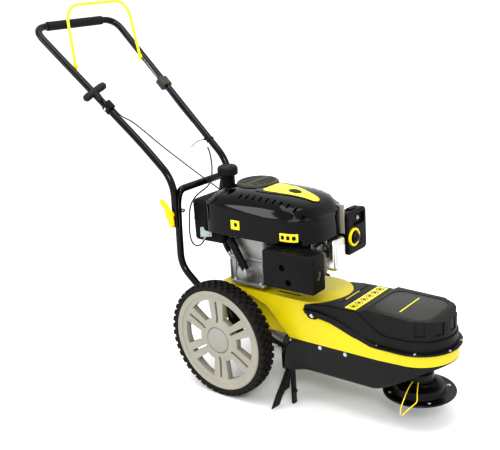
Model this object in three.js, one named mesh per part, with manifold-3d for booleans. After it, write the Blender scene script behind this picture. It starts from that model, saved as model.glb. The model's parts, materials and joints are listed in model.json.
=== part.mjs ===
// Walk-behind wheeled string trimmer (brush mower), built as an assembly of separate parts.
// Units are millimetres. +X points forward to the trimmer head, +Y to the machine's left, +Z up.
// Inside the machine group X is measured from the wheel axle; the group is then shifted by AXLE_X
// so that the origin lies on the ground, at the middle of the machine's footprint.

import * as THREE from 'three';
import { mergeVertices } from 'three/addons/utils/BufferGeometryUtils.js';
import Module from 'manifold-3d';

// ---------------------------------------------------------------- driving dimensions

const GAP = 0.3;                  // clearance between touching parts
const AXLE_X = 20;                // axle position ahead of the footprint's middle

const WHEEL_RADIUS = 178;         // 14 inch wheel
const TYRE_WIDTH = 55;
const RIM_RADIUS = 156;
const WHEEL_Y = 175.5;            // middle of each tyre
const AXLE_RADIUS = 8;

const TUBE_RADIUS = 11.1;         // handle and frame tube
const FRAME_Y = 106.5;            // legs of the lower frame
const HANDLE_Y = 129.5;           // lower ends of the upper handle, outside the legs
const HANDLE_KINK = [-301, 135, 739];
const HANDLE_TOP = [-701, 175, 1089];
const FOLD_PIVOT = [-195, 528];   // X and Z of the handle's folding bolts
const GRIP_HALF = 118;

const DECK_BOTTOM = 203;
const DECK_TOP = 320;
const DECK_HALF = 113;
const DECK_FRONT_RADIUS = 108;
const DECK_REAR = -62;
const DECK_CHAMFER_Z = 248;       // the sides are upright below this height and lean in above it
const DECK_TOP_HALF = 102;
const RAMP_FRONT = [480, 236];    // the deck's front platform starts here
const RAMP_MIDDLE = [345, 284];   // and the ramp bends here
const RAMP_REAR = [262, 298];
const LOBE_X = 236;               // centre of the half-round end of the raised engine platform
const STEEL = 3;                  // deck sheet

const HEAD_X = 560;               // trimmer spindle
const CRANK_X = 35;               // engine crankshaft
const BELT_Z = 268;
const ENGINE_PULLEY_RADIUS = 32;
const SPINDLE_PULLEY_RADIUS = 40;
const DISH_RADIUS = 101.5;
const DISH_Z = 83;

const COWL = { x: 85, y: -4, a: 179, b: 123, top: 612, wall: 4 };

// ---------------------------------------------------------------- materials

const paint = (color, roughness, metalness = 0) =>
  new THREE.MeshStandardMaterial({ color, roughness, metalness });

const MATERIAL = {
  tube: paint(0x101012, 0.25, 0.3),
  foam: paint(0x2b2b2d, 0.9),
  yellowSteel: paint(0xe8d800, 0.35, 0.2),
  yellowPlastic: paint(0xf2dc00, 0.45),
  blackPlastic: paint(0x242426, 0.5),
  glossBlack: paint(0x0b0b0d, 0.12),
  greyPlastic: paint(0x55544c, 0.6),
  rubber: paint(0x1c1b1b, 0.85),
  rim: paint(0xc9c5bb, 0.55),
  hub: paint(0x8f8f90, 0.5),
  aluminium: paint(0xb5b6b4, 0.4, 0.8),
  steel: paint(0xa6a8aa, 0.35, 0.9),
  darkSteel: paint(0x1a1a1b, 0.3, 0.5),
  cable: paint(0x38383a, 0.6),
  line: paint(0xe6c21a, 0.4),
};

// ---------------------------------------------------------------- geometry helpers

const wasm = await Module();
wasm.setup();

// Merges shared vertices, drops collapsed triangles and turns the faces outwards.
function closed(geometry) {
  const bare = new THREE.BufferGeometry();
  bare.setAttribute('position', geometry.attributes.position);
  if (geometry.index) bare.setIndex(geometry.index);
  const merged = mergeVertices(bare, 1e-4);
  const at = merged.attributes.position;
  const source = merged.index.array;
  const kept = [];
  let volume = 0;
  const [a, b, c] = [new THREE.Vector3(), new THREE.Vector3(), new THREE.Vector3()];
  for (let i = 0; i < source.length; i += 3) {
    const [p, q, r] = [source[i], source[i + 1], source[i + 2]];
    if (p === q || q === r || r === p) continue;
    kept.push(p, q, r);
    a.fromBufferAttribute(at, p);
    b.fromBufferAttribute(at, q);
    c.fromBufferAttribute(at, r);
    volume += a.dot(b.cross(c));
  }
  if (volume < 0) kept.reverse();
  merged.setIndex(kept);
  return merged;
}

function toSolid(geometry) {
  const g = closed(geometry);
  return new wasm.Manifold(new wasm.Mesh({
    numProp: 3,
    vertProperties: new Float32Array(g.attributes.position.array),
    triVerts: new Uint32Array(g.index.array),
  }));
}

function toGeometry(solid) {
  const mesh = solid.getMesh();
  const geometry = new THREE.BufferGeometry();
  geometry.setAttribute('position', new THREE.BufferAttribute(mesh.vertProperties, 3));
  geometry.setIndex(Array.from(mesh.triVerts));
  return geometry;
}

const join = (first, ...rest) =>
  toGeometry(rest.reduce((solid, g) => solid.add(toSolid(g)), toSolid(first)));
const cut = (first, ...rest) =>
  toGeometry(rest.reduce((solid, g) => solid.subtract(toSolid(g)), toSolid(first)));
const common = (first, ...rest) =>
  toGeometry(rest.reduce((solid, g) => solid.intersect(toSolid(g)), toSolid(first)));

function block(x0, x1, y0, y1, z0, z1) {
  return new THREE.BoxGeometry(x1 - x0, y1 - y0, z1 - z0)
    .translate((x0 + x1) / 2, (y0 + y1) / 2, (z0 + z1) / 2);
}

// Extrudes a shape between two heights along an axis. The shape's own axes are
// (x, y) for 'z', (x, z) for 'y' and (y, z) for 'x'.
function prism(shape, from, to, axis = 'z', curveSegments = 10) {
  const geometry = new THREE.ExtrudeGeometry(shape, {
    depth: to - from, bevelEnabled: false, curveSegments,
  });
  geometry.translate(0, 0, from);
  if (axis === 'y') geometry.rotateX(Math.PI / 2).scale(1, -1, 1);
  if (axis === 'x') geometry.rotateY(Math.PI / 2).rotateX(Math.PI / 2);
  return closed(geometry);
}

function outline(points) {
  return new THREE.Shape(points.map(([x, y]) => new THREE.Vector2(x, y)));
}

function roundedRectangle(x0, x1, y0, y1, r) {
  const shape = new THREE.Shape();
  shape.moveTo(x0 + r, y0);
  shape.lineTo(x1 - r, y0).absarc(x1 - r, y0 + r, r, -Math.PI / 2, 0);
  shape.lineTo(x1, y1 - r).absarc(x1 - r, y1 - r, r, 0, Math.PI / 2);
  shape.lineTo(x0 + r, y1).absarc(x0 + r, y1 - r, r, Math.PI / 2, Math.PI);
  shape.lineTo(x0, y0 + r).absarc(x0 + r, y0 + r, r, Math.PI, Math.PI * 1.5);
  return shape;
}

// A block whose edges along one axis are rounded and whose end faces are bevelled.
function cushionBlock(x0, x1, y0, y1, z0, z1, r, bevel, axis = 'z') {
  const ranges = { z: [x0, x1, y0, y1, z0, z1], y: [x0, x1, z0, z1, y0, y1], x: [y0, y1, z0, z1, x0, x1] };
  const [u0, u1, v0, v1, w0, w1] = ranges[axis];
  const shape = roundedRectangle(u0 + bevel, u1 - bevel, v0 + bevel, v1 - bevel, r);
  const geometry = new THREE.ExtrudeGeometry(shape, {
    depth: w1 - w0 - 2 * bevel, bevelEnabled: true, bevelSize: bevel, bevelThickness: bevel,
    bevelSegments: 1, curveSegments: 3,
  });
  geometry.translate(0, 0, w0 + bevel);
  if (axis === 'y') geometry.rotateX(Math.PI / 2).scale(1, -1, 1);
  if (axis === 'x') geometry.rotateY(Math.PI / 2).rotateX(Math.PI / 2);
  return closed(geometry);
}

const vector = ([x, y, z]) => new THREE.Vector3(x, y, z);

// Moves a geometry made along +Z so that it starts at one point and heads for another.
function along(geometry, from, to) {
  const direction = vector(to).sub(vector(from)).normalize();
  const turn = new THREE.Quaternion().setFromUnitVectors(new THREE.Vector3(0, 0, 1), direction);
  return geometry.applyQuaternion(turn).translate(...from);
}

function rod(from, to, radius, sides = 16) {
  const length = vector(from).distanceTo(vector(to));
  const geometry = new THREE.CylinderGeometry(radius, radius, length, sides);
  geometry.rotateX(Math.PI / 2).translate(0, 0, length / 2);
  return closed(along(geometry, from, to));
}

// Turns a closed profile of [radius, height] points about +Z.
function turned(profile, segments = 32) {
  const points = profile.map(([r, z]) => new THREE.Vector2(r, z));
  const loop = profile[0][0] === 0 && profile.at(-1)[0] === 0 ? points : [...points, points[0]];
  return closed(new THREE.LatheGeometry(loop, segments).rotateX(Math.PI / 2));
}

const ring = (inner, outer, z0, z1, segments = 32) =>
  turned([[inner, z0], [outer, z0], [outer, z1], [inner, z1]], segments);

// A path of straight runs whose corners are rounded with the given radii.
function bentPath(points, radius) {
  const path = new THREE.CurvePath();
  let last = vector(points[0]);
  for (let i = 1; i < points.length - 1; i += 1) {
    const corner = vector(points[i]);
    const before = vector(points[i - 1]).sub(corner);
    const after = vector(points[i + 1]).sub(corner);
    const reach = Math.min(radius, before.length() * 0.45, after.length() * 0.45);
    const start = corner.clone().addScaledVector(before.normalize(), reach);
    const end = corner.clone().addScaledVector(after.normalize(), reach);
    path.add(new THREE.LineCurve3(last, start));
    path.add(new THREE.QuadraticBezierCurve3(start, corner, end));
    last = end;
  }
  path.add(new THREE.LineCurve3(last, vector(points.at(-1))));
  return path;
}

function circle(radius, sides) {
  const points = [];
  for (let i = 0; i < sides; i += 1) {
    const angle = (2 * Math.PI * i) / sides;
    points.push([radius * Math.cos(angle), radius * Math.sin(angle)]);
  }
  return outline(points);
}

function pipe(path, radius, steps, sides = 10) {
  return closed(new THREE.ExtrudeGeometry(circle(radius, sides), { steps, extrudePath: path }));
}

const mirrored = (geometry) => closed(geometry.clone().scale(1, -1, 1));

// ---------------------------------------------------------------- assembly helpers

const machine = new THREE.Group();
machine.position.x = AXLE_X;

function part(name, geometry, material, parent = machine) {
  const mesh = new THREE.Mesh(closed(geometry), material);
  mesh.name = name;
  parent.add(mesh);
  return mesh;
}

// Adds a part built on the machine's right (-Y) side and its mirror image on the left.
function pair(name, geometry, material) {
  part(`${name}_right`, geometry, material);
  part(`${name}_left`, mirrored(geometry), material);
}

// ---------------------------------------------------------------- wheels and axle

// Each wheel is made about its own axis, outer face towards +Z, then turned to face outwards.
function rimGeometry() {
  const half = TYRE_WIDTH / 2;
  const barrel = turned([
    [RIM_RADIUS - 9, -half + 4], [RIM_RADIUS, -half + 4], [RIM_RADIUS, half - 2], [RIM_RADIUS - 4, half],
    [RIM_RADIUS - 14, half - 2], [RIM_RADIUS - 14, half - 18],
  ], 32);
  const face = circle(RIM_RADIUS - 8, 24);
  for (let i = 0; i < 6; i += 1) {
    const middle = (i * Math.PI) / 3;
    face.holes.push(windowPath(middle, 0.30, 62, 126));
    face.holes.push(windowPath(middle + Math.PI / 6, 0.035, 70, 122));
  }
  const spokes = prism(face, half - 24, half - 13, 'z', 2);
  const hub = turned([[0, -half + 4], [26, -half + 4], [30, half - 18], [46, half - 20],
    [46, half - 11], [0, half - 11]], 24);
  const bore = rod([0, 0, -half], [0, 0, half - 16], AXLE_RADIUS + GAP, 24);
  const capSeat = rod([0, 0, half - 15.7], [0, 0, half], 40 + GAP, 24);
  return cut(join(barrel, spokes, hub), bore, capSeat);
}

// The outline of one opening between spokes, centred on an angle.
function windowPath(middle, halfAngle, inner, outer) {
  const path = new THREE.Path();
  const innerHalf = halfAngle * (inner > 65 ? 1.5 : 0.8);
  path.absarc(0, 0, outer, middle - halfAngle, middle + halfAngle, false);
  path.absarc(0, 0, inner, middle + innerHalf, middle - innerHalf, true);
  path.closePath();
  return path;
}

function tyreGeometry() {
  const half = TYRE_WIDTH / 2;
  const inner = RIM_RADIUS + GAP;
  return turned([
    [inner, -half + 4], [WHEEL_RADIUS - 12, -half], [WHEEL_RADIUS - 3, -half + 6],
    [WHEEL_RADIUS, -half + 13], [WHEEL_RADIUS, half - 13], [WHEEL_RADIUS - 3, half - 6],
    [WHEEL_RADIUS - 12, half], [inner, half - 4],
  ], 32);
}

const hubCapGeometry = () => turned([
  [0, TYRE_WIDTH / 2 - 15.4], [39.5, TYRE_WIDTH / 2 - 15.4], [39.5, TYRE_WIDTH / 2 - 10],
  [34, TYRE_WIDTH / 2 - 5], [0, TYRE_WIDTH / 2 - 3],
], 24);

function placeOnAxle(geometry) {
  return geometry.rotateX(Math.PI / 2).translate(0, -WHEEL_Y, WHEEL_RADIUS);
}

function addWheels() {
  pair('wheel_rim', placeOnAxle(rimGeometry()), MATERIAL.rim);
  pair('tyre', placeOnAxle(tyreGeometry()), MATERIAL.rubber);
  pair('hub_cap', placeOnAxle(hubCapGeometry()), MATERIAL.hub);
  const end = WHEEL_Y + TYRE_WIDTH / 2 - 16.5;
  part('axle', rod([0, -end, WHEEL_RADIUS], [0, end, WHEEL_RADIUS], AXLE_RADIUS, 24), MATERIAL.steel);
}

// ---------------------------------------------------------------- lower frame and upper handle

function addLowerFrame() {
  const side = (y) => [
    [62, y, 262], [-104, y, 262], [-208, y, 352], [-204, y, 470], [-199, y, 560], [-184, y, 600],
  ];
  const path = bentPath([...side(-FRAME_Y), ...side(FRAME_Y).reverse()], 40);
  let frame = pipe(path, TUBE_RADIUS, 52, 8);
  for (const sign of [-1, 1]) {
    const lug = prism(outline([[-26, 166], [26, 166], [34, 266], [-34, 266]]),
      sign * FRAME_Y - 3, sign * FRAME_Y + 3, 'y');
    const hole = rod([0, sign * FRAME_Y - 9, WHEEL_RADIUS], [0, sign * FRAME_Y + 9, WHEEL_RADIUS],
      AXLE_RADIUS + GAP, 24);
    frame = cut(join(frame, lug), hole);
  }
  part('lower_frame', frame, MATERIAL.tube);
}

function handlePath() {
  const [kinkX, kinkY, kinkZ] = HANDLE_KINK;
  const [topX, topY, topZ] = HANDLE_TOP;
  const side = (s) => [
    [-192, s * HANDLE_Y, 488], [-186, s * HANDLE_Y, 632], [kinkX, s * kinkY, kinkZ], [topX, s * topY, topZ],
  ];
  return bentPath([...side(-1), ...side(1).reverse()], 56);
}

function addUpperHandle() {
  part('upper_handle', pipe(handlePath(), TUBE_RADIUS, 64, 8), MATERIAL.tube);
  const [topX, , topZ] = HANDLE_TOP;
  const grip = ring(TUBE_RADIUS + 0.6, 14.5, -GRIP_HALF, GRIP_HALF, 20);
  part('handle_grip', along(grip, [topX, 0, topZ], [topX, 1, topZ]), MATERIAL.foam);
}

// A point on the handle's straight upper run: t is 0 at the top corner and 1 at the kink.
function onHandle(t, sign, lift = 0) {
  const p = vector([HANDLE_TOP[0], sign * HANDLE_TOP[1], HANDLE_TOP[2]]);
  const q = vector([HANDLE_KINK[0], sign * HANDLE_KINK[1], HANDLE_KINK[2]]);
  const run = q.clone().sub(p);
  const normal = new THREE.Vector3(-run.z, 0, run.x).normalize();
  return p.addScaledVector(run, t).addScaledVector(normal, lift).toArray();
}

const BAIL_PIVOT = { t: 0.36, inset: 19 };

function addBail() {
  const [x, y, z] = onHandle(BAIL_PIVOT.t, 1, 4);
  const low = y - BAIL_PIVOT.inset;
  const points = (s) => [[x, s * low, z - 14], [x, s * low, z], [-582, s * 130, 1152]];
  const path = bentPath([...points(-1), ...points(1).reverse()], 34);
  const rodBody = pipe(path, 4.4, 32, 8);
  const holes = [-1, 1].map((s) => rod([x, s * (low - 8), z], [x, s * (low + 8), z], 2.2 + GAP, 10));
  const eyes = [-1, 1].map((s) => rod([x, s * (low - 3.5), z], [x, s * (low + 3.5), z], 7.5, 12));
  part('bail_lever', cut(join(rodBody, ...eyes), ...holes), MATERIAL.yellowPlastic);
  const pin = join(
    rod([x, -(low - 8.5), z], [x, -(y - TUBE_RADIUS - GAP - 0.6), z], 2.2, 10),
    rod([x, -(low - 8.5), z], [x, -(low - 4.9), z], 4.5, 10),
  );
  pair('bail_pin', pin, MATERIAL.yellowPlastic);
}

const CLAMP_LENGTH = 36;
const GUIDE_LENGTH = 26;
const CABLE_RADIUS = 2.3;

// The two ends of a fitting of some length that is centred on the handle's upper run.
function stationOnHandle(share, sign, length) {
  const middle = vector(onHandle(share, sign, 0));
  const run = vector(onHandle(1, sign)).sub(vector(onHandle(0, sign))).normalize();
  return [-length / 2, length / 2].map((shift) => middle.clone().addScaledVector(run, shift).toArray());
}

function addHandleFittings() {
  const [clampFrom, clampTo] = stationOnHandle(0.605, 1, CLAMP_LENGTH);
  const fit = TUBE_RADIUS + 0.6;
  const sleeve = ring(fit, 14.5, 0, CLAMP_LENGTH, 20);
  const cheek = block(-13, 5, -22, -9, 0, CLAMP_LENGTH);
  const bore = rod([0, 0, -1], [0, 0, CLAMP_LENGTH + 1], fit, 20);
  const clamp = along(cut(join(sleeve, cheek), bore), clampFrom, clampTo);
  part('cable_clamp', cut(clamp, upperCable(CABLE_RADIUS + 0.6)), MATERIAL.greyPlastic);

  const [guideFrom, guideTo] = stationOnHandle(0.705, -1, GUIDE_LENGTH);
  const collar = ring(fit, 14, 0, GUIDE_LENGTH, 20);
  const lobe = rod([-13, -15, 0], [-13, -15, GUIDE_LENGTH], 8, 16);
  const eye = rod([-13, -17, -1], [-13, -17, GUIDE_LENGTH + 1], 4.2, 12);
  const guideBore = rod([0, 0, -1], [0, 0, GUIDE_LENGTH + 1], fit, 20);
  const guide = cut(join(collar, lobe), eye, guideBore);
  part('rope_guide', along(guide, guideFrom, guideTo), MATERIAL.blackPlastic);
}

// ---------------------------------------------------------------- recoil handle, rope and stop cable

const PULL = { seat: 0.66, lift: 16, side: -14 };

function addStarterHandle() {
  const beside = ([x, y, z]) => [x, y + PULL.side, z];
  const seat = beside(onHandle(PULL.seat, -1, PULL.lift));
  const tip = beside(onHandle(PULL.seat - 0.068, -1, PULL.lift + 2));
  const stem = along(turned([[0, 0], [5, 0], [8, 10], [9, 30], [0, 30]], 16), seat, tip);
  const middle = vector(tip);
  const reach = vector([19, 31, 21]);
  const bar = rod(middle.clone().sub(reach).toArray(), middle.clone().add(reach).toArray(), 10.5, 14);
  part('starter_handle', join(stem, bar), MATERIAL.blackPlastic);
}

const TIE_AT = 0.868;              // share of the handle tube's length, from its lower right end

const ROPE_ROUTE = [
  onHandle(0.735, -1, 16), onHandle(0.80, -1, 17), [-330, -134, 802], [-250, -102, 730],
  [-160, -64, 652], [-102, -39, 604], [-88, -33, 592],
];

const CABLE_UPPER = [
  onHandle(0.395, 1, 8), onHandle(0.43, 1, 9), onHandle(0.50, 1, 6),
];

const CABLE_HANDLE_RUN = [
  onHandle(0.62, 1, 4), onHandle(0.72, 1, 3), onHandle(0.82, 1, 2), onHandle(0.95, 1, 3),
];

// The lower length hangs from the tie, passes over the tank, turns back below it and
// ends at the engine's brake bracket.
const CABLE_LOWER = [
  [-258, 116, 680], [-247, 112, 662], [-236, 104, 636], [-222, 88, 612], [-205, 62, 592],
  [-190, 32, 582], [-178, 2, 578], [-173, -28, 574], [-172, -56, 564], [-173, -78, 542],
  [-172, -89, 510], [-171, -93, 480], [-170, -95, 452], [-160, -97, 430], [-142, -99, 424],
  [-122, -101, 432], [-106, -103, 448], [-94, -105.5, 462],
];

function spline(points, steps, radius, sides = 6) {
  const curve = new THREE.CatmullRomCurve3(points.map(vector), false, 'centripetal');
  return pipe(curve, radius, steps, sides);
}

// The upper length runs down the inner side of the handle's left tube.
function upperCable(radius) {
  const beside = [...CABLE_UPPER, ...CABLE_HANDLE_RUN].map(([x, y, z]) => [x, y - 18, z]);
  return spline(beside, 18, radius);
}

function addRopesAndCables() {
  part('starter_rope', spline(ROPE_ROUTE, 20, 1.8), MATERIAL.cable);
  part('stop_cable_upper', upperCable(CABLE_RADIUS), MATERIAL.cable);
  part('stop_cable_lower', spline(CABLE_LOWER, 40, CABLE_RADIUS), MATERIAL.cable);
  const path = handlePath();
  const at = path.getPointAt(TIE_AT);
  const tie = ring(TUBE_RADIUS + 1.2, TUBE_RADIUS + 2.8, -2.2, 2.2, 16);
  const tail = block(-TUBE_RADIUS - 14, -TUBE_RADIUS - 1.5, -2, 0, -2.2, 2.2);
  const below = at.clone().sub(path.getTangentAt(TIE_AT));
  part('cable_tie', along(join(tie, tail), at.toArray(), below.toArray()), MATERIAL.rubber);
}

// ---------------------------------------------------------------- folding clamps

const CLAMP_OUTER = HANDLE_Y + TUBE_RADIUS;

// A bolt through the frame leg and the handle tube, with its nut inside and a washer outside.
function foldingBolt() {
  const [x, z] = FOLD_PIVOT;
  const inner = FRAME_Y - TUBE_RADIUS;
  const shaft = rod([x, -(inner - 8), z], [x, -(CLAMP_OUTER + 9), z], 3, 16);
  const nut = rod([x, -(inner - 8), z], [x, -(inner - GAP), z], 7, 6);
  const washer = rod([x, -(CLAMP_OUTER + GAP), z], [x, -(CLAMP_OUTER + 2.3), z], 9, 24);
  return join(shaft, nut, washer);
}

// A wing-shaped lever that turns about the bolt's own axis and tightens it like a wing nut.
function wingLever() {
  const [x, z] = FOLD_PIVOT;
  const shape = new THREE.Shape();
  shape.moveTo(14, -46);
  shape.bezierCurveTo(20, -30, 16, -8, 8, 10);
  shape.bezierCurveTo(-2, 34, -22, 50, -32, 52);
  shape.bezierCurveTo(-40, 50, -38, 40, -32, 32);
  shape.bezierCurveTo(-18, 16, -12, -4, -6, -24);
  shape.bezierCurveTo(-2, -38, 4, -50, 14, -46);
  const plate = prism(shape, -CLAMP_OUTER - 17, -CLAMP_OUTER - 10, 'y', 6)
    .scale(0.86, 1, 0.86)
    .translate(x + 3, 0, z + 3);
  const hub = rod([x, -(CLAMP_OUTER + 2.6), z], [x, -(CLAMP_OUTER + 15), z], 13, 24);
  const pocket = block(x - 4, x + 4, -CLAMP_OUTER - 10.5, -CLAMP_OUTER - 1, z - 4, z + 4);
  const hole = rod([x - 13, -CLAMP_OUTER - 20, z + 21], [x - 13, -CLAMP_OUTER - 5, z + 21], 4, 12);
  return cut(join(plate, hub), pocket, hole);
}

function addFoldingClamps() {
  pair('clamp_bolt', foldingBolt(), MATERIAL.steel);
  pair('clamp_lever', wingLever(), MATERIAL.yellowPlastic);
}

// The handle and the frame are drilled for the folding bolts.
function drillForFoldingBolts() {
  const [x, z] = FOLD_PIVOT;
  for (const name of ['upper_handle', 'lower_frame']) {
    const mesh = machine.getObjectByName(name);
    const holes = [-1, 1].map((s) => rod([x, s * 90, z], [x, s * 150, z], 3 + GAP, 16));
    mesh.geometry = closed(cut(mesh.geometry, ...holes));
  }
}

// ---------------------------------------------------------------- deck

// Plan outline of the lower deck: straight sides that end in a half-round nose.
function deckPlan(inset, rear = DECK_REAR) {
  const shape = new THREE.Shape();
  shape.moveTo(rear + inset, -(DECK_HALF - inset));
  shape.lineTo(HEAD_X - 60, -(DECK_HALF - inset));
  shape.lineTo(HEAD_X, -(DECK_FRONT_RADIUS - inset));
  shape.absarc(HEAD_X, 0, DECK_FRONT_RADIUS - inset, -Math.PI / 2, Math.PI / 2);
  shape.lineTo(HEAD_X - 60, DECK_HALF - inset);
  shape.lineTo(rear + inset, DECK_HALF - inset);
  return shape;
}

// Cross-section across the machine: upright sides up to the chamfer, then leaning in.
function leaningSection(inset, top) {
  const lean = (DECK_HALF - DECK_TOP_HALF) / (DECK_TOP - DECK_CHAMFER_Z);
  const half = DECK_HALF - inset;
  const topHalf = half - lean * (top - DECK_CHAMFER_Z);
  return outline([[-half, DECK_BOTTOM], [half, DECK_BOTTOM], [half, DECK_CHAMFER_Z],
    [topHalf, top], [-topHalf, top], [-half, DECK_CHAMFER_Z]]);
}

function deckBody(inset) {
  const bottom = DECK_BOTTOM - (inset ? 1 : 0);
  const top = DECK_TOP - inset;
  const low = prism(deckPlan(inset), bottom, top, 'z', 14);
  const side = outline([[DECK_REAR, bottom], [680, bottom], [680, RAMP_FRONT[1] - inset],
    [RAMP_FRONT[0], RAMP_FRONT[1] - inset], [RAMP_MIDDLE[0], RAMP_MIDDLE[1] - inset],
    [RAMP_REAR[0], RAMP_REAR[1] - inset], [DECK_REAR, RAMP_REAR[1] - inset]]);
  const section = leaningSection(inset, top);
  const base = common(low, prism(side, -130, 130, 'y'), prism(section, DECK_REAR - 5, 690, 'x'));
  const platform = common(
    prism(section, DECK_REAR + inset, LOBE_X, 'x'),
    block(DECK_REAR, LOBE_X, -130, 130, DECK_CHAMFER_Z, top),
  );
  const half = DECK_HALF - inset;
  const lean = (DECK_HALF - DECK_TOP_HALF) / (DECK_TOP - DECK_CHAMFER_Z);
  const nose = turned([[0, DECK_CHAMFER_Z - 10], [half, DECK_CHAMFER_Z - 10], [half, DECK_CHAMFER_Z],
    [half - lean * (top - DECK_CHAMFER_Z), top], [0, top]], 32).translate(LOBE_X, 0, 0);
  return join(base, platform, nose);
}

function addDeck() {
  const shell = cut(deckBody(0), deckBody(STEEL));
  const wheelRecess = (sign) => prism(
    outline([[DECK_REAR - 5, 195], [212, 195], [162, 250], [126, 284], [70, 306], [DECK_REAR - 5, 306]]),
    sign > 0 ? 94 : -120, sign > 0 ? 120 : -94, 'y');
  const recessWall = (sign) => prism(
    outline([[DECK_REAR, DECK_BOTTOM], [208, DECK_BOTTOM], [161, 251], [127, 287], [70, 309],
      [DECK_REAR, 309]]),
    sign > 0 ? 91 : -94, sign > 0 ? 94 : -91, 'y');
  const shelf = (sign) => prism(
    outline([[204, DECK_BOTTOM], [209, DECK_BOTTOM], [164, 252], [128, 288], [71, 310], [DECK_REAR, 310],
      [DECK_REAR, 306], [70, 306], [126, 284], [162, 250]]),
    sign > 0 ? 91 : -111, sign > 0 ? 111 : -91, 'y');
  let deck = cut(shell, wheelRecess(-1), wheelRecess(1));
  deck = join(deck, recessWall(-1), recessWall(1), shelf(-1), shelf(1));
  const beltWay = block(262, 500, -72, 72, 240, 312);
  const crankHole = rod([CRANK_X, 0, 300], [CRANK_X, 0, 330], 24, 28);
  const spindleHole = rod([HEAD_X, 0, 225], [HEAD_X, 0, 245], 24, 28);
  const slot = block(138, 226, -62, -52, 312, 330);
  const [boltX, boltZ] = EAR_BOLT;
  const bore = (sign) => rod([boltX, sign * 90, boltZ], [boltX, sign * 120, boltZ], 2.6 + GAP, 12);
  deck = cut(deck, beltWay, crankHole, spindleHole, slot, bore(-1), bore(1));
  part('deck', deck, MATERIAL.yellowSteel);
}

// ---------------------------------------------------------------- belt cover

const EAR_BOLT = [286, 289.5];      // X and Z of the bolts through the cover's ears

const COVER = { top: 333, plateau: 324, half: 109, wall: 3, nose: 100, flangeRadius: 116 };

function coverBody(inset) {
  const drop = inset ? 6 : -GAP * 2;
  const slope = (RAMP_REAR[1] - RAMP_MIDDLE[1]) / (RAMP_MIDDLE[0] - RAMP_REAR[0]);
  const start = 250 + inset;
  const side = outline([
    [start, RAMP_REAR[1] + slope * (RAMP_REAR[0] - start) - drop],
    [RAMP_MIDDLE[0], RAMP_MIDDLE[1] - drop], [RAMP_FRONT[0], RAMP_FRONT[1] - drop],
    [680, RAMP_FRONT[1] - drop], [680, COVER.top - 24 - inset], [640 - inset, COVER.top - 7 - inset],
    [446 + inset, COVER.top - inset], [430 + inset, COVER.plateau - inset], [330, COVER.plateau - 1 - inset],
    [start, 313 - inset],
  ]);
  const half = COVER.half - inset;
  const section = outline([[-half, 225], [half, 225], [half, 262], [half - 15, COVER.top],
    [-half + 15, COVER.top], [-half, 262]]);
  const plan = new THREE.Shape();
  plan.moveTo(start, -half);
  plan.lineTo(450, -half);
  plan.lineTo(505, -(COVER.nose - inset));
  plan.lineTo(HEAD_X, -(COVER.nose - inset));
  plan.absarc(HEAD_X, 0, COVER.nose - inset, -Math.PI / 2, Math.PI / 2);
  plan.lineTo(505, COVER.nose - inset);
  plan.lineTo(450, half);
  plan.lineTo(start, half);
  return common(prism(side, -130, 130, 'y'), prism(section, 200, 700, 'x'), prism(plan, 220, 340, 'z', 12));
}

function addBeltCover() {
  const base = RAMP_FRONT[1] + 2 * GAP;
  const flange = new THREE.Shape();
  flange.moveTo(482, -COVER.flangeRadius);
  flange.lineTo(HEAD_X, -COVER.flangeRadius);
  flange.absarc(HEAD_X, 0, COVER.flangeRadius, -Math.PI / 2, Math.PI / 2);
  flange.lineTo(482, COVER.flangeRadius);
  const lobe = (margin) => turned([
    [0, 200], [DECK_HALF + margin, 200], [DECK_HALF + margin, DECK_CHAMFER_Z],
    [DECK_TOP_HALF + margin, DECK_TOP], [DECK_TOP_HALF + margin, 345], [0, 345],
  ], 32).translate(LOBE_X, 0, 0);
  const [boltX, boltZ] = EAR_BOLT;
  const ear = (sign) => block(269, 303, sign > 0 ? 100 : -111.5, sign > 0 ? 111.5 : -100, 278, 301);
  const bore = (sign) => rod([boltX, sign * 90, boltZ], [boltX, sign * 120, boltZ], 2.6 + GAP, 12);
  let cover = cut(coverBody(0), coverBody(COVER.wall));
  cover = join(cover, cut(prism(flange, base, base + 4, 'z', 14), coverBody(COVER.wall)));
  cover = cut(cover, lobe(2));
  cover = cut(join(cover, ear(-1), ear(1)), deckBody(-GAP), bore(-1), bore(1));
  part('belt_cover', cover, MATERIAL.blackPlastic);
  const bolt = join(rod([boltX, -98, boltZ], [boltX, -114, boltZ], 2.6, 12),
    rod([boltX, -111.8, boltZ], [boltX, -115.4, boltZ], 5.5, 12));
  pair('cover_bolt', bolt, MATERIAL.steel);
}

// ---------------------------------------------------------------- guard, flaps and stand legs

const FLAP_LEAN = 0.13;             // how far the rubber flaps lean forward for each unit of height

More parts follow.
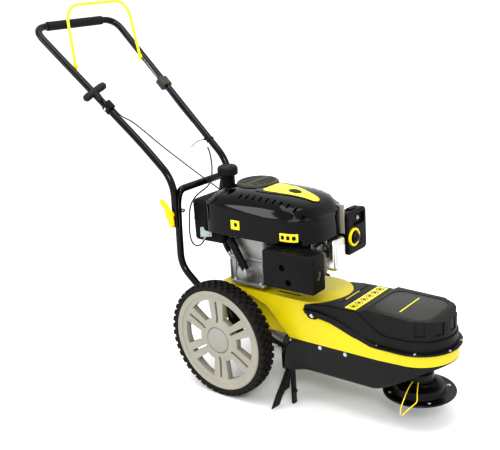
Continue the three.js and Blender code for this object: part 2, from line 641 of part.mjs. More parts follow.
function addGuards() {
  const top = DECK_BOTTOM - GAP;
  const rear = 180;
  const outside = prism(deckPlan(0.5, rear), 112, top, 'z', 14);
  const inside = prism(deckPlan(3.5, rear), 100, 210, 'z', 14);
  const wall = cut(outside, inside);
  const rise = outline([[505, 105], [665, 203.5], [690, 203.5], [690, 100], [505, 100]]);
  const frontRise = prism(rise, -130, 130, 'y');
  const rearRise = block(170, 184, -130, 130, 100, 160);
  const corner = outline([[170, 100], [232, 100], [222, 150], [184, 160], [170, 160]]);
  const cornerCut = prism(corner, -130, 130, 'y');
  const rearPanel = block(180, 184, -131, 131, 158, top);
  part('guard_skirt', join(cut(wall, frontRise, rearRise, cornerCut), rearPanel), MATERIAL.glossBlack);

  const leg = block(213, 221, -131, -113.2, 0, 196);
  const nub = rod([221, -121, 40], [227, -121, 40], 6, 12);
  pair('stand_leg', join(leg, nub), MATERIAL.darkSteel);

  const flap = new THREE.Shape();
  flap.moveTo(-113.2, 150);
  flap.lineTo(-122, 156);
  flap.bezierCurveTo(-134, 140, -134, 120, -144, 100);
  flap.bezierCurveTo(-158, 74, -184, 50, -200, 4);
  flap.lineTo(-160, 3);
  flap.lineTo(-140, 40);
  flap.lineTo(-113.2, 40);
  const sheet = prism(flap, 0, 5, 'x', 8);
  const forwardPerRise = new THREE.Matrix4().makeShear(0, 0, 0, 0, FLAP_LEAN, 0);
  pair('debris_flap', sheet.applyMatrix4(forwardPerRise).translate(186, 0, 0), MATERIAL.rubber);
}

// ---------------------------------------------------------------- trimmer head and belt drive

function pulley(radius, x, z) {
  const groove = 7;
  return turned([[10 + GAP, -9], [radius + groove, -9], [radius + groove, -6.5], [radius, -5.2],
    [radius, 5.2], [radius + groove, 6.5], [radius + groove, 9], [10 + GAP, 9]], 24).translate(x, 0, z);
}

// The outline of a belt that wraps two pulleys of different radii on the X axis.
function beltOutline(offset) {
  const r1 = ENGINE_PULLEY_RADIUS + offset;
  const r2 = SPINDLE_PULLEY_RADIUS + offset;
  const distance = HEAD_X - CRANK_X;
  const lean = Math.asin((r2 - r1) / distance);
  const shape = new THREE.Shape();
  shape.absarc(HEAD_X, 0, r2, -Math.PI / 2 - lean, Math.PI / 2 + lean, false);
  shape.absarc(CRANK_X, 0, r1, Math.PI / 2 + lean, Math.PI * 1.5 - lean, false);
  return shape;
}

function addBeltDrive() {
  const belt = cut(prism(beltOutline(7), BELT_Z - 4.5, BELT_Z + 4.5, 'z', 8),
    prism(beltOutline(0.5), BELT_Z - 9, BELT_Z + 9, 'z', 8));
  part('drive_belt', belt, MATERIAL.rubber);
  part('engine_pulley', pulley(ENGINE_PULLEY_RADIUS, CRANK_X, BELT_Z), MATERIAL.darkSteel);
  part('spindle_pulley', pulley(SPINDLE_PULLEY_RADIUS, HEAD_X, BELT_Z), MATERIAL.darkSteel);
  const idler = turned([[4 + GAP, -8], [20, -8], [20, 8], [4 + GAP, 8]], 32).translate(220, -63.5, BELT_Z);
  part('idler_pulley', idler, MATERIAL.darkSteel);
  part('idler_bolt', join(rod([220, -63.5, BELT_Z - 11], [220, -63.5, DECK_TOP - STEEL - GAP], 4, 20),
    rod([220, -63.5, BELT_Z - 14], [220, -63.5, BELT_Z - 9], 7.5, 6)), MATERIAL.steel);
}

function addTrimmerHead() {
  const housing = turned([[12, 158], [30, 158], [30, 224], [46, 230], [46, 232.4], [12, 232.4]], 24);
  part('spindle_housing', housing.translate(HEAD_X, 0, 0), MATERIAL.aluminium);
  part('spindle_shaft', rod([HEAD_X, 0, 104], [HEAD_X, 0, 284], 10, 24), MATERIAL.steel);
  const holder = turned([[10 + GAP, 112], [34, 112], [40, 118], [40, 142], [30, 150], [20, 155],
    [10 + GAP, 155]], 24).translate(HEAD_X, 0, 0);
  part('line_holder', holder, MATERIAL.darkSteel);
  const dish = turned([
    [0, 68], [34, 68], [70, 72], [DISH_RADIUS - 4, DISH_Z - 3], [DISH_RADIUS, DISH_Z],
    [DISH_RADIUS - 1, DISH_Z + 3], [DISH_RADIUS - 8, DISH_Z + 2], [72, DISH_Z + 1],
    [62, DISH_Z + 10], [50, 104], [26, 103.7], [0, 103.7],
  ], 28).translate(HEAD_X, 0, 0);
  part('trimmer_dish', dish, MATERIAL.glossBlack);
  const strand = (phase, tipShift) => {
    const place = (r, z, a) => [HEAD_X + r * Math.cos(a), r * Math.sin(a), z];
    const a = -Math.PI / 2 + phase;
    return spline([place(42, 126, a), place(60, 122, a), place(80, 112, a), place(98, 98, a),
      place(107, 80, a + tipShift * 0.5), place(108, 56, a + tipShift)], 14, 1.7);
  };
  part('trimmer_line_a', strand(0.04, -0.06), MATERIAL.line);
  part('trimmer_line_b', strand(0.40, -0.36), MATERIAL.line);
}

// ---------------------------------------------------------------- engine

function addCrankcase() {
  const base = DECK_TOP + GAP;
  let body = join(
    turned([[0, base], [84, base], [84, base + 10], [0, base + 10]], 28).translate(CRANK_X, -2, 0),
    cushionBlock(-38, 112, -84, 78, base + 6, 478, 22, 4),
    rod([50, -80, 366], [42, -116, 372], 21, 24),
  );
  const socket = rod([53, -106.2, 379.5], [0, -98, 458], 11.5, 20);
  body = cut(body, socket, rod([CRANK_X, 0, 310], [CRANK_X, 0, 400], 10 + GAP, 24));
  part('crankcase', body, MATERIAL.aluminium);
  part('crankshaft', rod([CRANK_X, 0, 252], [CRANK_X, 0, 399], 10, 24), MATERIAL.steel);
}

function addCylinder() {
  const core = block(112.4, 264, -40, 66, 388, 466);
  const fins = [];
  for (let i = 0; i < 6; i += 1) fins.push(block(126 + i * 24, 134 + i * 24, -50, 76, 376, 478));
  part('cylinder', join(core, ...fins), MATERIAL.aluminium);
  part('valve_cover', cushionBlock(264.4, 297, -6, 61, 382, 476, 12, 6, 'x'), MATERIAL.aluminium);
  const thread = rod([266.5, -24.2, 440.3], [280, -26, 443], 7, 12);
  const plug = join(thread, rod([278, -26, 443], [295, -29, 446], 11, 12));
  part('spark_plug', plug, MATERIAL.darkSteel);
}

// Turns the flat rings of a dome into rounded rectangles that drift backwards as they rise.
function squareDome(profile, segments, cowl, drift) {
  const geometry = new THREE.LatheGeometry(profile.map(([r, z]) => new THREE.Vector2(r, z)), segments);
  geometry.rotateX(Math.PI / 2);
  const at = geometry.attributes.position;
  for (let i = 0; i < at.count; i += 1) {
    const [u, v, z] = [at.getX(i), at.getY(i), at.getZ(i)];
    const r = Math.hypot(u, v);
    if (r < 1e-6) {
      at.setXY(i, cowl.x + drift(0), cowl.y);
      continue;
    }
    const power = 2 + 5 * r ** 3;
    const [c, s] = [Math.abs(u / r), Math.abs(v / r)];
    const square = r / (c ** power + s ** power) ** (1 / power);
    at.setXYZ(i, cowl.x + drift(r) + Math.sign(u) * c * square * cowl.a,
      cowl.y + Math.sign(v) * s * square * cowl.b, z);
  }
  return closed(geometry);
}

function addCowl() {
  const t = COWL.wall / COWL.b;
  const outer = [[0, 0], [0.40, 0], [0.62, -6], [0.80, -17], [0.92, -33], [0.985, -54], [1, -76], [1, -127]];
  const inner = outer.map(([r, z]) => [Math.max(0, r - t), z - (r < 0.95 ? COWL.wall : 0)]).reverse();
  const profile = [...outer, ...inner].map(([r, z]) => [r, COWL.top + z]);
  const drift = (r) => -50 * (1 - r ** 1.5);
  const shell = squareDome(profile, 32, COWL, drift);
  part('engine_cowl', shell, MATERIAL.glossBlack);
  let grille = turned([[0, COWL.top + GAP], [62, COWL.top + GAP], [62, COWL.top + 5], [54, COWL.top + 9],
    [0, COWL.top + 10]], 28);
  for (let i = -3; i <= 3; i += 1) {
    grille = cut(grille, block(-26, 44, i * 13 - 2.5, i * 13 + 2.5, COWL.top + 4, COWL.top + 20));
  }
  part('starter_grille', grille.translate(CRANK_X + 2, 0, 0), MATERIAL.greyPlastic);
}

const FILLER = [-119, 45];

function addFuelTank() {
  const body = cushionBlock(-166, -97, -84, 84, 442, 566, 16, 7);
  const foot = cushionBlock(-130, -46, -82, 82, 442.5, 480, 10, 5);
  const [x, y] = FILLER;
  const neck = rod([x, y, 550], [x, y, 618], 21, 24);
  const well = rod([x, y, 480], [x, y, 640], 17, 24);
  part('fuel_tank', cut(join(body, foot, neck), well), MATERIAL.blackPlastic);
  const cap = turned([[0, 618.4], [29, 618.4], [31, 624], [30, 642], [26, 647], [0, 648]], 28);
  const stopper = rod([0, 0, 604], [0, 0, 620], 16, 24);
  part('fuel_cap', join(cap, stopper).translate(x, y, 0), MATERIAL.blackPlastic);
}

function addOilFiller() {
  const bottom = [52, -106, 381];
  const top = [0, -98, 458];
  const tube = rod(bottom, top, 11, 20);
  const way = rod([24, -101.7, 422.5], [-20, -94.9, 487.6], 8, 20);
  part('oil_filler', cut(tube, way), MATERIAL.blackPlastic);
  const direction = vector(top).sub(vector(bottom)).normalize();
  const start = vector(top).addScaledVector(direction, GAP).toArray();
  const cap = turned([[0, 0], [13, 0], [13, 9], [9, 13], [0, 13]], 20);
  const stick = turned([[0, -22], [3, -22], [3, 2], [0, 2]], 10);
  part('oil_cap', along(join(cap, stick), start, top.map((v, i) => start[i] + direction.toArray()[i] * 10)),
    MATERIAL.blackPlastic);
}

function addExhaust() {
  part('muffler', cushionBlock(192, 306, -152, -54, 388, 464, 14, 5, 'y'), MATERIAL.darkSteel);
  const outer = cushionBlock(164, 330, -168, -108, 374, 478, 6, 5, 'y');
  const inner = block(167, 327, -165, -90, 377, 475);
  const port = rod([320, -138, 424], [340, -138, 424], 13, 20);
  const screws = [[232, 438], [252, 398]].map(([x, z]) => rod([x, -175, z], [x, -160, z], 4.5, 12));
  part('muffler_guard', cut(outer, inner, block(160, 335, -113, -100, 370, 480), port, ...screws),
    MATERIAL.blackPlastic);
}

function addAirFilter() {
  const facing = (geometry) => geometry.rotateY(Math.PI / 2).translate(303, 92, 463);
  const box = cushionBlock(266, 303, 64, 166, 411, 539, 10, 4, 'x');
  const bezel = facing(ring(20, 27, -2, 6, 28));
  const pocket = facing(rod([0, 0, -8], [0, 0, 1], 15.6, 20));
  part('air_filter', cut(join(box, bezel), pocket), MATERIAL.blackPlastic);
  const dome = turned([[0, GAP], [15, GAP], [15, 8], [11, 15], [0, 17]], 20);
  part('primer_bulb', facing(dome), MATERIAL.rubber);
}

function addBrakeBracket() {
  const edge = outline([[-112, 460], [-66, 468], [-66, 482], [-94, 484], [-97, 494], [-110, 492]]);
  const plate = prism(edge, -112, -109, 'y');
  const web = block(-98, -88, -112, -84.4, 470, 474);
  part('brake_bracket', join(plate, web), MATERIAL.steel);
}

// ---------------------------------------------------------------- build

addWheels();
addLowerFrame();
addUpperHandle();
addBail();
addHandleFittings();
addStarterHandle();
addRopesAndCables();
addFoldingClamps();
drillForFoldingBolts();
addDeck();
addBeltCover();
addGuards();
addBeltDrive();
addTrimmerHead();
addCrankcase();
addCylinder();
addCowl();
addFuelTank();
addOilFiller();
addExhaust();
addAirFilter();
addBrakeBracket();

export default machine;
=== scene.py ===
"""Looks for a walk-behind wheeled string trimmer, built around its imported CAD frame.

Shapes are worked out in millimetres in the machine's own axes: X forward from the wheel axle,
Y to the machine's left, Z up from the ground. put() turns them into the frame's metres.
"""

import json
import math

import bmesh
import bpy
from mathutils import Matrix, Vector

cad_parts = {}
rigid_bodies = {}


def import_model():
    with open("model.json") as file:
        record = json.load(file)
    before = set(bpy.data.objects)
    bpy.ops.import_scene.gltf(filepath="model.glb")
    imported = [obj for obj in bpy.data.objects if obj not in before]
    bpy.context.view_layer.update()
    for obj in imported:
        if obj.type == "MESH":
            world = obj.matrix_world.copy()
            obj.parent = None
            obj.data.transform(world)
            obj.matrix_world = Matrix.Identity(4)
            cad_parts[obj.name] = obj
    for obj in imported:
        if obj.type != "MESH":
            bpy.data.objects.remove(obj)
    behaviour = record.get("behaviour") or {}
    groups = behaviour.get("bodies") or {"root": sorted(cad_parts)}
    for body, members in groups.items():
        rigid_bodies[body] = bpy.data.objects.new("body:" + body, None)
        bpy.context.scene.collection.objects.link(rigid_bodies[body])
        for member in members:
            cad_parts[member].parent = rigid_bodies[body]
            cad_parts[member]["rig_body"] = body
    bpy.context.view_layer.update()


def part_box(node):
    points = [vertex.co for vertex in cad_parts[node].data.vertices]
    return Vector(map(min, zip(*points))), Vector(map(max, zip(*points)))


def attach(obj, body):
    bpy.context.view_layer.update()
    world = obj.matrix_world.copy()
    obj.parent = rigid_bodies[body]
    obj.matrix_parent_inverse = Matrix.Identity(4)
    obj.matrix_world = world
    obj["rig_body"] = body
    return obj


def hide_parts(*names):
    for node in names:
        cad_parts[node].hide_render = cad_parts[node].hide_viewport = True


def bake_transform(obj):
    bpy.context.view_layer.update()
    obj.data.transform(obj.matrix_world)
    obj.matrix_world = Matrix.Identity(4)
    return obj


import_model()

# ---------------------------------------------------------------- driving dimensions

MM = 0.001
SIDES = ((-1, "right"), (1, "left"))
TYRE_LOW, TYRE_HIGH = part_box("tyre_right")
AXLE_X = (TYRE_LOW.x + TYRE_HIGH.x) / 2
WHEEL_RADIUS = (TYRE_HIGH.z - TYRE_LOW.z) / 2 / MM
TYRE_WIDTH = (TYRE_HIGH.y - TYRE_LOW.y) / MM
WHEEL_Y = -(TYRE_HIGH.y + TYRE_LOW.y) / 2 / MM
RIM_RADIUS = 156

TUBE_RADIUS = 11.1
FRAME_Y = 106.5
HANDLE_Y = 129.5
HANDLE_KINK = Vector((-301, 135, 739))
HANDLE_TOP = Vector((-701, 175, 1089))
FOLD_PIVOT = (-195, 528)
GRIP_HALF = 118

DECK_BOTTOM, DECK_TOP, DECK_HALF = 203, 320, 113
DECK_REAR, DECK_NOSE, LOBE_X = -62, 108, 236
DECK_CHAMFER_Z, DECK_TOP_HALF = 248, 102
RAMP_FRONT, RAMP_MIDDLE, RAMP_REAR = (480, 236), (345, 284), (262, 298)
HEAD_X, CRANK_X, BELT_Z = 560, 35, 268
SIDE_END = HEAD_X - 60
COWL_CENTRE, COWL_A, COWL_B = Vector((85, -2.5, 0)), 179, 120.5
FILLER = Vector((-119, 45, 0))

# ---------------------------------------------------------------- materials


SLOTS = {}


def material(name, slot, colour, roughness, metal=0.0, coat=0.0, grain=0.0, grain_scale=400.0,
             variation=0.06, rough_variation=0.08, sheen=0.0, specular=0.5, kind="noise"):
    """A procedural finish: mottled colour and roughness with a fine bumped grain.

    SLOTS remembers the frame's slot that pieces in this finish belong to.
    """
    mat = bpy.data.materials.new(name)
    SLOTS[mat.name] = slot
    mat.use_nodes = True
    tree = mat.node_tree
    nodes, links = tree.nodes, tree.links
    shader = nodes["Principled BSDF"]
    shader.inputs["Metallic"].default_value = metal
    shader.inputs["Coat Weight"].default_value = coat
    shader.inputs["Coat Roughness"].default_value = 0.06
    shader.inputs["Sheen Weight"].default_value = sheen
    shader.inputs["Specular IOR Level"].default_value = specular
    place = nodes.new("ShaderNodeTexCoord")

    broad = nodes.new("ShaderNodeTexNoise")
    broad.inputs["Scale"].default_value = 14.0
    broad.inputs["Detail"].default_value = 5.0
    links.new(place.outputs["Object"], broad.inputs["Vector"])

    tint = nodes.new("ShaderNodeValToRGB")
    tint.color_ramp.elements[0].position = 0.3
    tint.color_ramp.elements[1].position = 0.7
    tint.color_ramp.elements[0].color = [c * (1 - variation) for c in colour] + [1]
    tint.color_ramp.elements[1].color = [min(1, c * (1 + variation)) for c in colour] + [1]
    links.new(broad.outputs["Fac"], tint.inputs["Fac"])
    links.new(tint.outputs["Color"], shader.inputs["Base Color"])

    smudge = nodes.new("ShaderNodeMapRange")
    smudge.inputs["To Min"].default_value = max(0.02, roughness - rough_variation)
    smudge.inputs["To Max"].default_value = min(1.0, roughness + rough_variation)
    links.new(broad.outputs["Fac"], smudge.inputs["Value"])
    links.new(smudge.outputs["Result"], shader.inputs["Roughness"])

    if grain:
        if kind == "cells":
            fine = nodes.new("ShaderNodeTexVoronoi")
            height = fine.outputs["Distance"]
        elif kind == "weave":
            fine = nodes.new("ShaderNodeTexWave")
            fine.inputs["Distortion"].default_value = 2.0
            height = fine.outputs["Fac"]
        else:
            fine = nodes.new("ShaderNodeTexNoise")
            fine.inputs["Detail"].default_value = 3.0
            height = fine.outputs["Fac"]
        fine.inputs["Scale"].default_value = grain_scale
        links.new(place.outputs["Object"], fine.inputs["Vector"])
        bump = nodes.new("ShaderNodeBump")
        bump.inputs["Strength"].default_value = grain
        bump.inputs["Distance"].default_value = 0.0004
        links.new(height, bump.inputs["Height"])
        links.new(bump.outputs["Normal"], shader.inputs["Normal"])
    return mat


TUBE_PAINT = material("tube_paint", "tube_paint", (0.003, 0.003, 0.004), 0.20, coat=0.3, specular=0.2,
                      grain=0.12, grain_scale=160)
FOAM = material("foam", "foam", (0.020, 0.020, 0.021), 0.9, grain=0.9, grain_scale=900, kind="cells",
                sheen=0.05, specular=0.2)
YELLOW_STEEL = material("yellow_steel", "yellow_steel", (0.60, 0.50, 0.001), 0.42, coat=0.25, grain=0.10,
                        grain_scale=120, variation=0.03)
YELLOW_ROD = material("yellow_rod", "bail_yellow", (0.88, 0.78, 0.015), 0.38, coat=0.3, grain=0.15,
                      grain_scale=300, variation=0.03)
YELLOW_MOULDING = material("yellow_moulding", "yellow_plastic", (0.86, 0.66, 0.0), 0.40, grain=0.25,
                           grain_scale=700, variation=0.04)
YELLOW_LABEL = material("yellow_label", "yellow_plastic", (0.78, 0.66, 0.0), 0.34, coat=0.4, grain=0.05,
                        variation=0.02)
LABEL_INK = material("label_ink", "black_plastic", (0.010, 0.010, 0.010), 0.5, specular=0.3, grain=0.1)
BLACK_MOULDING = material("black_moulding", "black_plastic", (0.009, 0.009, 0.010), 0.46, specular=0.2,
                          grain=0.45, grain_scale=1400, variation=0.15)
DARK_MOULDING = material("dark_moulding", "black_plastic", (0.018, 0.017, 0.018), 0.52, specular=0.3,
                         grain=0.6, grain_scale=1100, variation=0.15)
COVER_MOULDING = material("cover_moulding", "black_plastic", (0.013, 0.0125, 0.012), 0.42, specular=0.25,
                          grain=0.5, grain_scale=1300, variation=0.15)
PANEL_GREY = material("panel_grey", "grey_plastic", (0.040, 0.040, 0.033), 0.45, specular=0.4, grain=0.3,
                      grain_scale=1300, variation=0.1)
GLOSS_BLACK = material("gloss_black", "gloss_black", (0.002, 0.002, 0.002), 0.10, coat=0.28,
                       specular=0.15, grain=0.03, grain_scale=40, rough_variation=0.02)
GUARD_BLACK = material("guard_black", "gloss_black", (0.006, 0.006, 0.005), 0.24, coat=0.25,
                       specular=0.25, grain=0.15, grain_scale=90)
DISH_BLACK = material("dish_black", "gloss_black", (0.005, 0.005, 0.005), 0.34, coat=0.15, specular=0.25,
                      grain=0.1, grain_scale=200)
OLIVE_MOULDING = material("olive_moulding", "grey_plastic", (0.050, 0.046, 0.034), 0.48, specular=0.4,
                          grain=0.5, grain_scale=1200, variation=0.12)
RIM_MOULDING = material("rim_moulding", "rim_plastic", (0.31, 0.295, 0.25), 0.48, specular=0.4,
                        grain=0.35, grain_scale=900, variation=0.05)
HUB_MOULDING = material("hub_moulding", "hub_plastic", (0.29, 0.28, 0.255), 0.48, specular=0.4,
                        grain=0.35, grain_scale=900)
TYRE_RUBBER = material("tyre_rubber", "tyre_rubber", (0.014, 0.012, 0.011), 0.70, specular=0.3, grain=0.8,
                       grain_scale=700, variation=0.25)
SOFT_RUBBER = material("soft_rubber", "rubber", (0.010, 0.010, 0.010), 0.50, specular=0.3, grain=0.5,
                       grain_scale=500, variation=0.2)
CAST_ALUMINIUM = material("cast_aluminium", "cast_aluminium", (0.36, 0.355, 0.345), 0.44, metal=0.85,
                          grain=0.9, grain_scale=500, variation=0.12, rough_variation=0.12)
BRIGHT_ALUMINIUM = material("bright_aluminium", "polished_aluminium", (0.70, 0.70, 0.68), 0.24,
                            metal=0.95, grain=0.2, grain_scale=260, variation=0.06)
ZINC = material("zinc", "steel", (0.60, 0.60, 0.60), 0.30, metal=1.0, grain=0.25, grain_scale=600)
BRACKET_STEEL = material("bracket_steel", "steel", (0.36, 0.42, 0.42), 0.32, metal=0.8, grain=0.3,
                         grain_scale=300, variation=0.15)
BLACK_STEEL = material("black_steel", "dark_steel", (0.008, 0.008, 0.009), 0.36, metal=0.2, coat=0.2,
                       specular=0.3, grain=0.35, grain_scale=500, variation=0.2)
HEATED_STEEL = material("heated_steel", "muffler_metal", (0.16, 0.13, 0.11), 0.48, metal=0.8, grain=0.6,
                        grain_scale=250, variation=0.3)
GASKET = material("gasket", "black_plastic", (0.05, 0.045, 0.04), 0.8, grain=0.5)
SHEATH = material("sheath", "cable_sheath", (0.012, 0.012, 0.013), 0.42, specular=0.3, grain=0.3,
                  grain_scale=800)
BRAID = material("braid", "rope", (0.020, 0.018, 0.016), 0.8, specular=0.2, grain=1.0, grain_scale=900,
                 kind="weave", sheen=0.1)
WIRE = material("wire", "steel", (0.50, 0.50, 0.50), 0.35, metal=1.0, grain=0.6, grain_scale=1500,
                kind="weave")
NYLON = material("nylon", "line", (0.85, 0.62, 0.02), 0.30, coat=0.3, grain=0.2, grain_scale=600)

# ---------------------------------------------------------------- mesh helpers

SCENE = bpy.context.scene.collection


def put(point):
    """A point in machine millimetres as a place in the frame, in metres."""
    x, y, z = point
    return Vector((AXLE_X + x * MM, y * MM, z * MM))


def build(name, verts, faces):
    """A new mesh object from points in machine millimetres, welded and with its faces turned out."""
    mesh = bpy.data.meshes.new(name)
    mesh.from_pydata([put(v) for v in verts], [], faces)
    work = bmesh.new()
    work.from_mesh(mesh)
    bmesh.ops.remove_doubles(work, verts=work.verts, dist=1e-7)
    bmesh.ops.recalc_face_normals(work, faces=work.faces)
    work.to_mesh(mesh)
    work.free()
    obj = bpy.data.objects.new(name, mesh)
    SCENE.objects.link(obj)
    return obj


def apply(obj):
    """Turns an object's modifiers, or its curve, into plain mesh."""
    view = bpy.context.evaluated_depsgraph_get()
    mesh = bpy.data.meshes.new_from_object(obj.evaluated_get(view))
    if obj.type == "MESH":
        obj.modifiers.clear()
        obj.data = mesh
        return obj
    made = bpy.data.objects.new(obj.name + "_mesh", mesh)
    made.matrix_world = obj.matrix_world
    SCENE.objects.link(made)
    bpy.data.objects.remove(obj)
    return made


def boolean(obj, others, operation):
    """Combines a solid with others, which are used up."""
    for other in others:
        step = obj.modifiers.new("step", "BOOLEAN")
        step.operation, step.object, step.solver = operation, other, "MANIFOLD"
    bpy.context.view_layer.update()
    apply(obj)
    for other in others:
        bpy.data.objects.remove(other)
    return obj


def cut(obj, *others):
    return boolean(obj, others, "DIFFERENCE")


def join(obj, *others):
    return boolean(obj, others, "UNION")


def common(obj, *others):
    return boolean(obj, others, "INTERSECT")


def merge(name, *objs):
    """Puts several separate solids into one object."""
    work = bmesh.new()
    for obj in objs:
        work.from_mesh(obj.data)
    mesh = bpy.data.meshes.new(name)
    work.to_mesh(mesh)
    work.free()
    for slot in objs[0].data.materials:
        mesh.materials.append(slot)
    made = bpy.data.objects.new(name, mesh)
    SCENE.objects.link(made)
    for obj in objs:
        bpy.data.objects.remove(obj)
    return made


def soften(obj, width, segments=3, angle=32):
    """Rounds the sharp edges by a width in millimetres and shades the rest smoothly."""
    if width:
        step = obj.modifiers.new("edges", "BEVEL")
        step.width, step.segments = width * MM, segments
        step.limit_method, step.angle_limit = "ANGLE", math.radians(angle)
        step.use_clamp_overlap = True
        apply(obj)
    return smooth(obj, angle + 8)


def smooth(obj, angle=40):
    """Shades smoothly but for edges sharper than an angle."""
    obj.data.shade_smooth()
    obj.data.set_sharp_from_angle(angle=math.radians(angle))
    return obj


def between(name, near, far):
    """Closes the solid between two outlines that have the same number of points."""
    count = len(near)
    faces = [list(range(count)), list(range(2 * count - 1, count - 1, -1))]
    faces += [[i, (i + 1) % count, count + (i + 1) % count, count + i] for i in range(count)]
    return build(name, near + far, faces)


def prism(name, outline, low, high, axis="z"):
    """Extrudes an outline along an axis: its own axes are (x, y) for z, (x, z) for y, (y, z) for x."""
    turn = {"z": lambda u, v, w: (u, v, w), "y": lambda u, v, w: (u, w, v), "x": lambda u, v, w: (w, u, v)}
    return between(name, [turn[axis](u, v, low) for u, v in outline], [turn[axis](u, v, high) for u,
                   v in outline])


def block(name, x0, x1, y0, y1, z0, z1):
    """A plain box."""
    return prism(name, [(x0, y0), (x1, y0), (x1, y1), (x0, y1)], z0, z1)


def arc(centre, radius, start, end, steps=16):
    """Points on an arc, angles in degrees."""
    found = []
    for i in range(steps + 1):
        a = math.radians(start + (end - start) * i / steps)
        found.append((centre[0] + radius * math.cos(a), centre[1] + radius * math.sin(a)))
    return found


def bezier(a, b, c, d, steps=8):
    """Points on a cubic curve, all but its last."""
    found = []
    for i in range(steps):
        t = i / steps
        found.append(tuple(a[k] * (1 - t) ** 3 + b[k] * 3 * t * (1 - t) ** 2 + c[k] * 3 * t * t * (1 - t)
                           + d[k] * t ** 3 for k in (0, 1)))
    return found


def rounded(x0, x1, y0, y1, r, steps=6):
    """A rectangle with round corners."""
    return (arc((x1 - r, y0 + r), r, -90, 0, steps) + arc((x1 - r, y1 - r), r, 0, 90, steps)
            + arc((x0 + r, y1 - r), r, 90, 180, steps) + arc((x0 + r, y0 + r), r, 180, 270, steps))


def along(direction):
    """The turn that takes +Z to a direction."""
    return Vector((0, 0, 1)).rotation_difference(Vector(direction).normalized()).to_matrix()


def turned(name, profile, segments=64, centre=(0, 0, 0), direction=(0, 0, 1)):
    """Turns a closed [radius, height] profile about an axis through the centre."""
    turn, centre = along(direction), Vector(centre)
    rings, verts, faces = [], [], []
    for r, z in profile:
        if r < 1e-6:
            rings.append([len(verts)])
            verts.append(centre + turn @ Vector((0, 0, z)))
            continue
        rings.append(list(range(len(verts), len(verts) + segments)))
        for i in range(segments):
            a = 2 * math.pi * i / segments
            verts.append(centre + turn @ Vector((r * math.cos(a), r * math.sin(a), z)))
    closed = profile[0][0] > 1e-6 or profile[-1][0] > 1e-6
    pairs = list(zip(rings, rings[1:])) + ([(rings[-1], rings[0])] if closed else [])
    for low, high in pairs:
        for i in range(segments):
            j = (i + 1) % segments
            face = [low[i % len(low)], low[j % len(low)], high[j % len(high)], high[i % len(high)]]
            face = list(dict.fromkeys(face))
            if len(face) > 2:
                faces.append(face)
    return build(name, verts, faces)


def rod(name, start, end, radius, sides=32, chamfer=0.0):
    """A round bar between two points."""
    start, end = Vector(start), Vector(end)
    length = (end - start).length
    c = min(chamfer, radius * 0.6)
    profile = [(0, 0), (radius - c, 0), (radius, c), (radius, length - c), (radius - c, length), (0, length)]
    if not c:
        profile = [(0, 0), (radius, 0), (radius, length), (0, length)]
    return turned(name, profile, sides, start, end - start)


def bent(points, radius, steps=8):
    """A line of straight runs whose corners are rounded."""
    points = [Vector(p) for p in points]
    path = [points[0]]
    for before, corner, after in zip(points, points[1:], points[2:]):
        a, b = before - corner, after - corner
        reach = min(radius, a.length * 0.45, b.length * 0.45)
        start, end = corner + a.normalized() * reach, corner + b.normalized() * reach
        for i in range(steps + 1):
            t = i / steps
            path.append(start * (1 - t) ** 2 + corner * 2 * t * (1 - t) + end * t * t)
    return path + [points[-1]]


def flowing(points, steps=8):
    """A smooth curve through the points (centripetal Catmull-Rom)."""
    p = [Vector(v) for v in points]
    p = [p[0] * 2 - p[1]] + p + [p[-1] * 2 - p[-2]]
    path = []
    for a, b, c, d in zip(p, p[1:], p[2:], p[3:]):
        knots = [0.0]
        for u, v in ((a, b), (b, c), (c, d)):
            knots.append(knots[-1] + max((v - u).length, 1e-6) ** 0.5)
        for i in range(steps):
            t = knots[1] + (knots[2] - knots[1]) * i / steps
            mix = lambda u, v, s, e: u * ((e - t) / (e - s)) + v * ((t - s) / (e - s))
            ab, bc, cd = mix(a, b, *knots[0:2]), mix(b, c, *knots[1:3]), mix(c, d, *knots[2:4])
            abc, bcd = mix(ab, bc, knots[0], knots[2]), mix(bc, cd, knots[1], knots[3])
            path.append(mix(abc, bcd, knots[1], knots[2]))
    return path + [p[-2]]


def sweep(name, path, radius, sides=16):
    """A round bar along a path. The radius may be a function of the share of the way along."""
    path = [Vector(p) for p in path]
    path = [p for i, p in enumerate(path) if i == 0 or (p - path[i - 1]).length > 1e-4]
    width = radius if callable(radius) else (lambda t: radius)
    verts, faces = [], []
    normal = None
    for i, p in enumerate(path):
        tangent = (path[min(i + 1, len(path) - 1)] - path[max(i - 1, 0)]).normalized()
        if normal is None:
            normal = tangent.orthogonal().normalized()
        normal = (normal - tangent * normal.dot(tangent)).normalized()
        side = tangent.cross(normal)
        r = width(i / (len(path) - 1))
        for k in range(sides):
            a = 2 * math.pi * k / sides
            verts.append(p + (normal * math.cos(a) + side * math.sin(a)) * r)
    for i in range(len(path) - 1):
        for k in range(sides):
            n = (k + 1) % sides
            faces.append([i * sides + k, i * sides + n, (i + 1) * sides + n, (i + 1) * sides + k])
    faces.append(list(range(sides)))
    faces.append(list(range((len(path) - 1) * sides, len(path) * sides)))
    return build(name, verts, faces)


def mirror(obj, name):
    """A copy of a piece on the machine's other side."""
    mesh = obj.data.copy()
    mesh.transform(Matrix.Diagonal((1, -1, 1, 1)))
    mesh.flip_normals()
    made = bpy.data.objects.new(name, mesh)
    SCENE.objects.link(made)
    return made


def finish(obj, mat, *nodes, body="chassis", slot=None):
    """Gives a piece its material and its body and hides the CAD nodes that it stands for; its slot is looked
    up but not kept.
    """
    obj.data.materials.clear()
    obj.data.materials.append(mat)
    slot = slot or SLOTS[mat.name]
    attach(obj, body)
    if nodes:
        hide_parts(*nodes)
    return obj


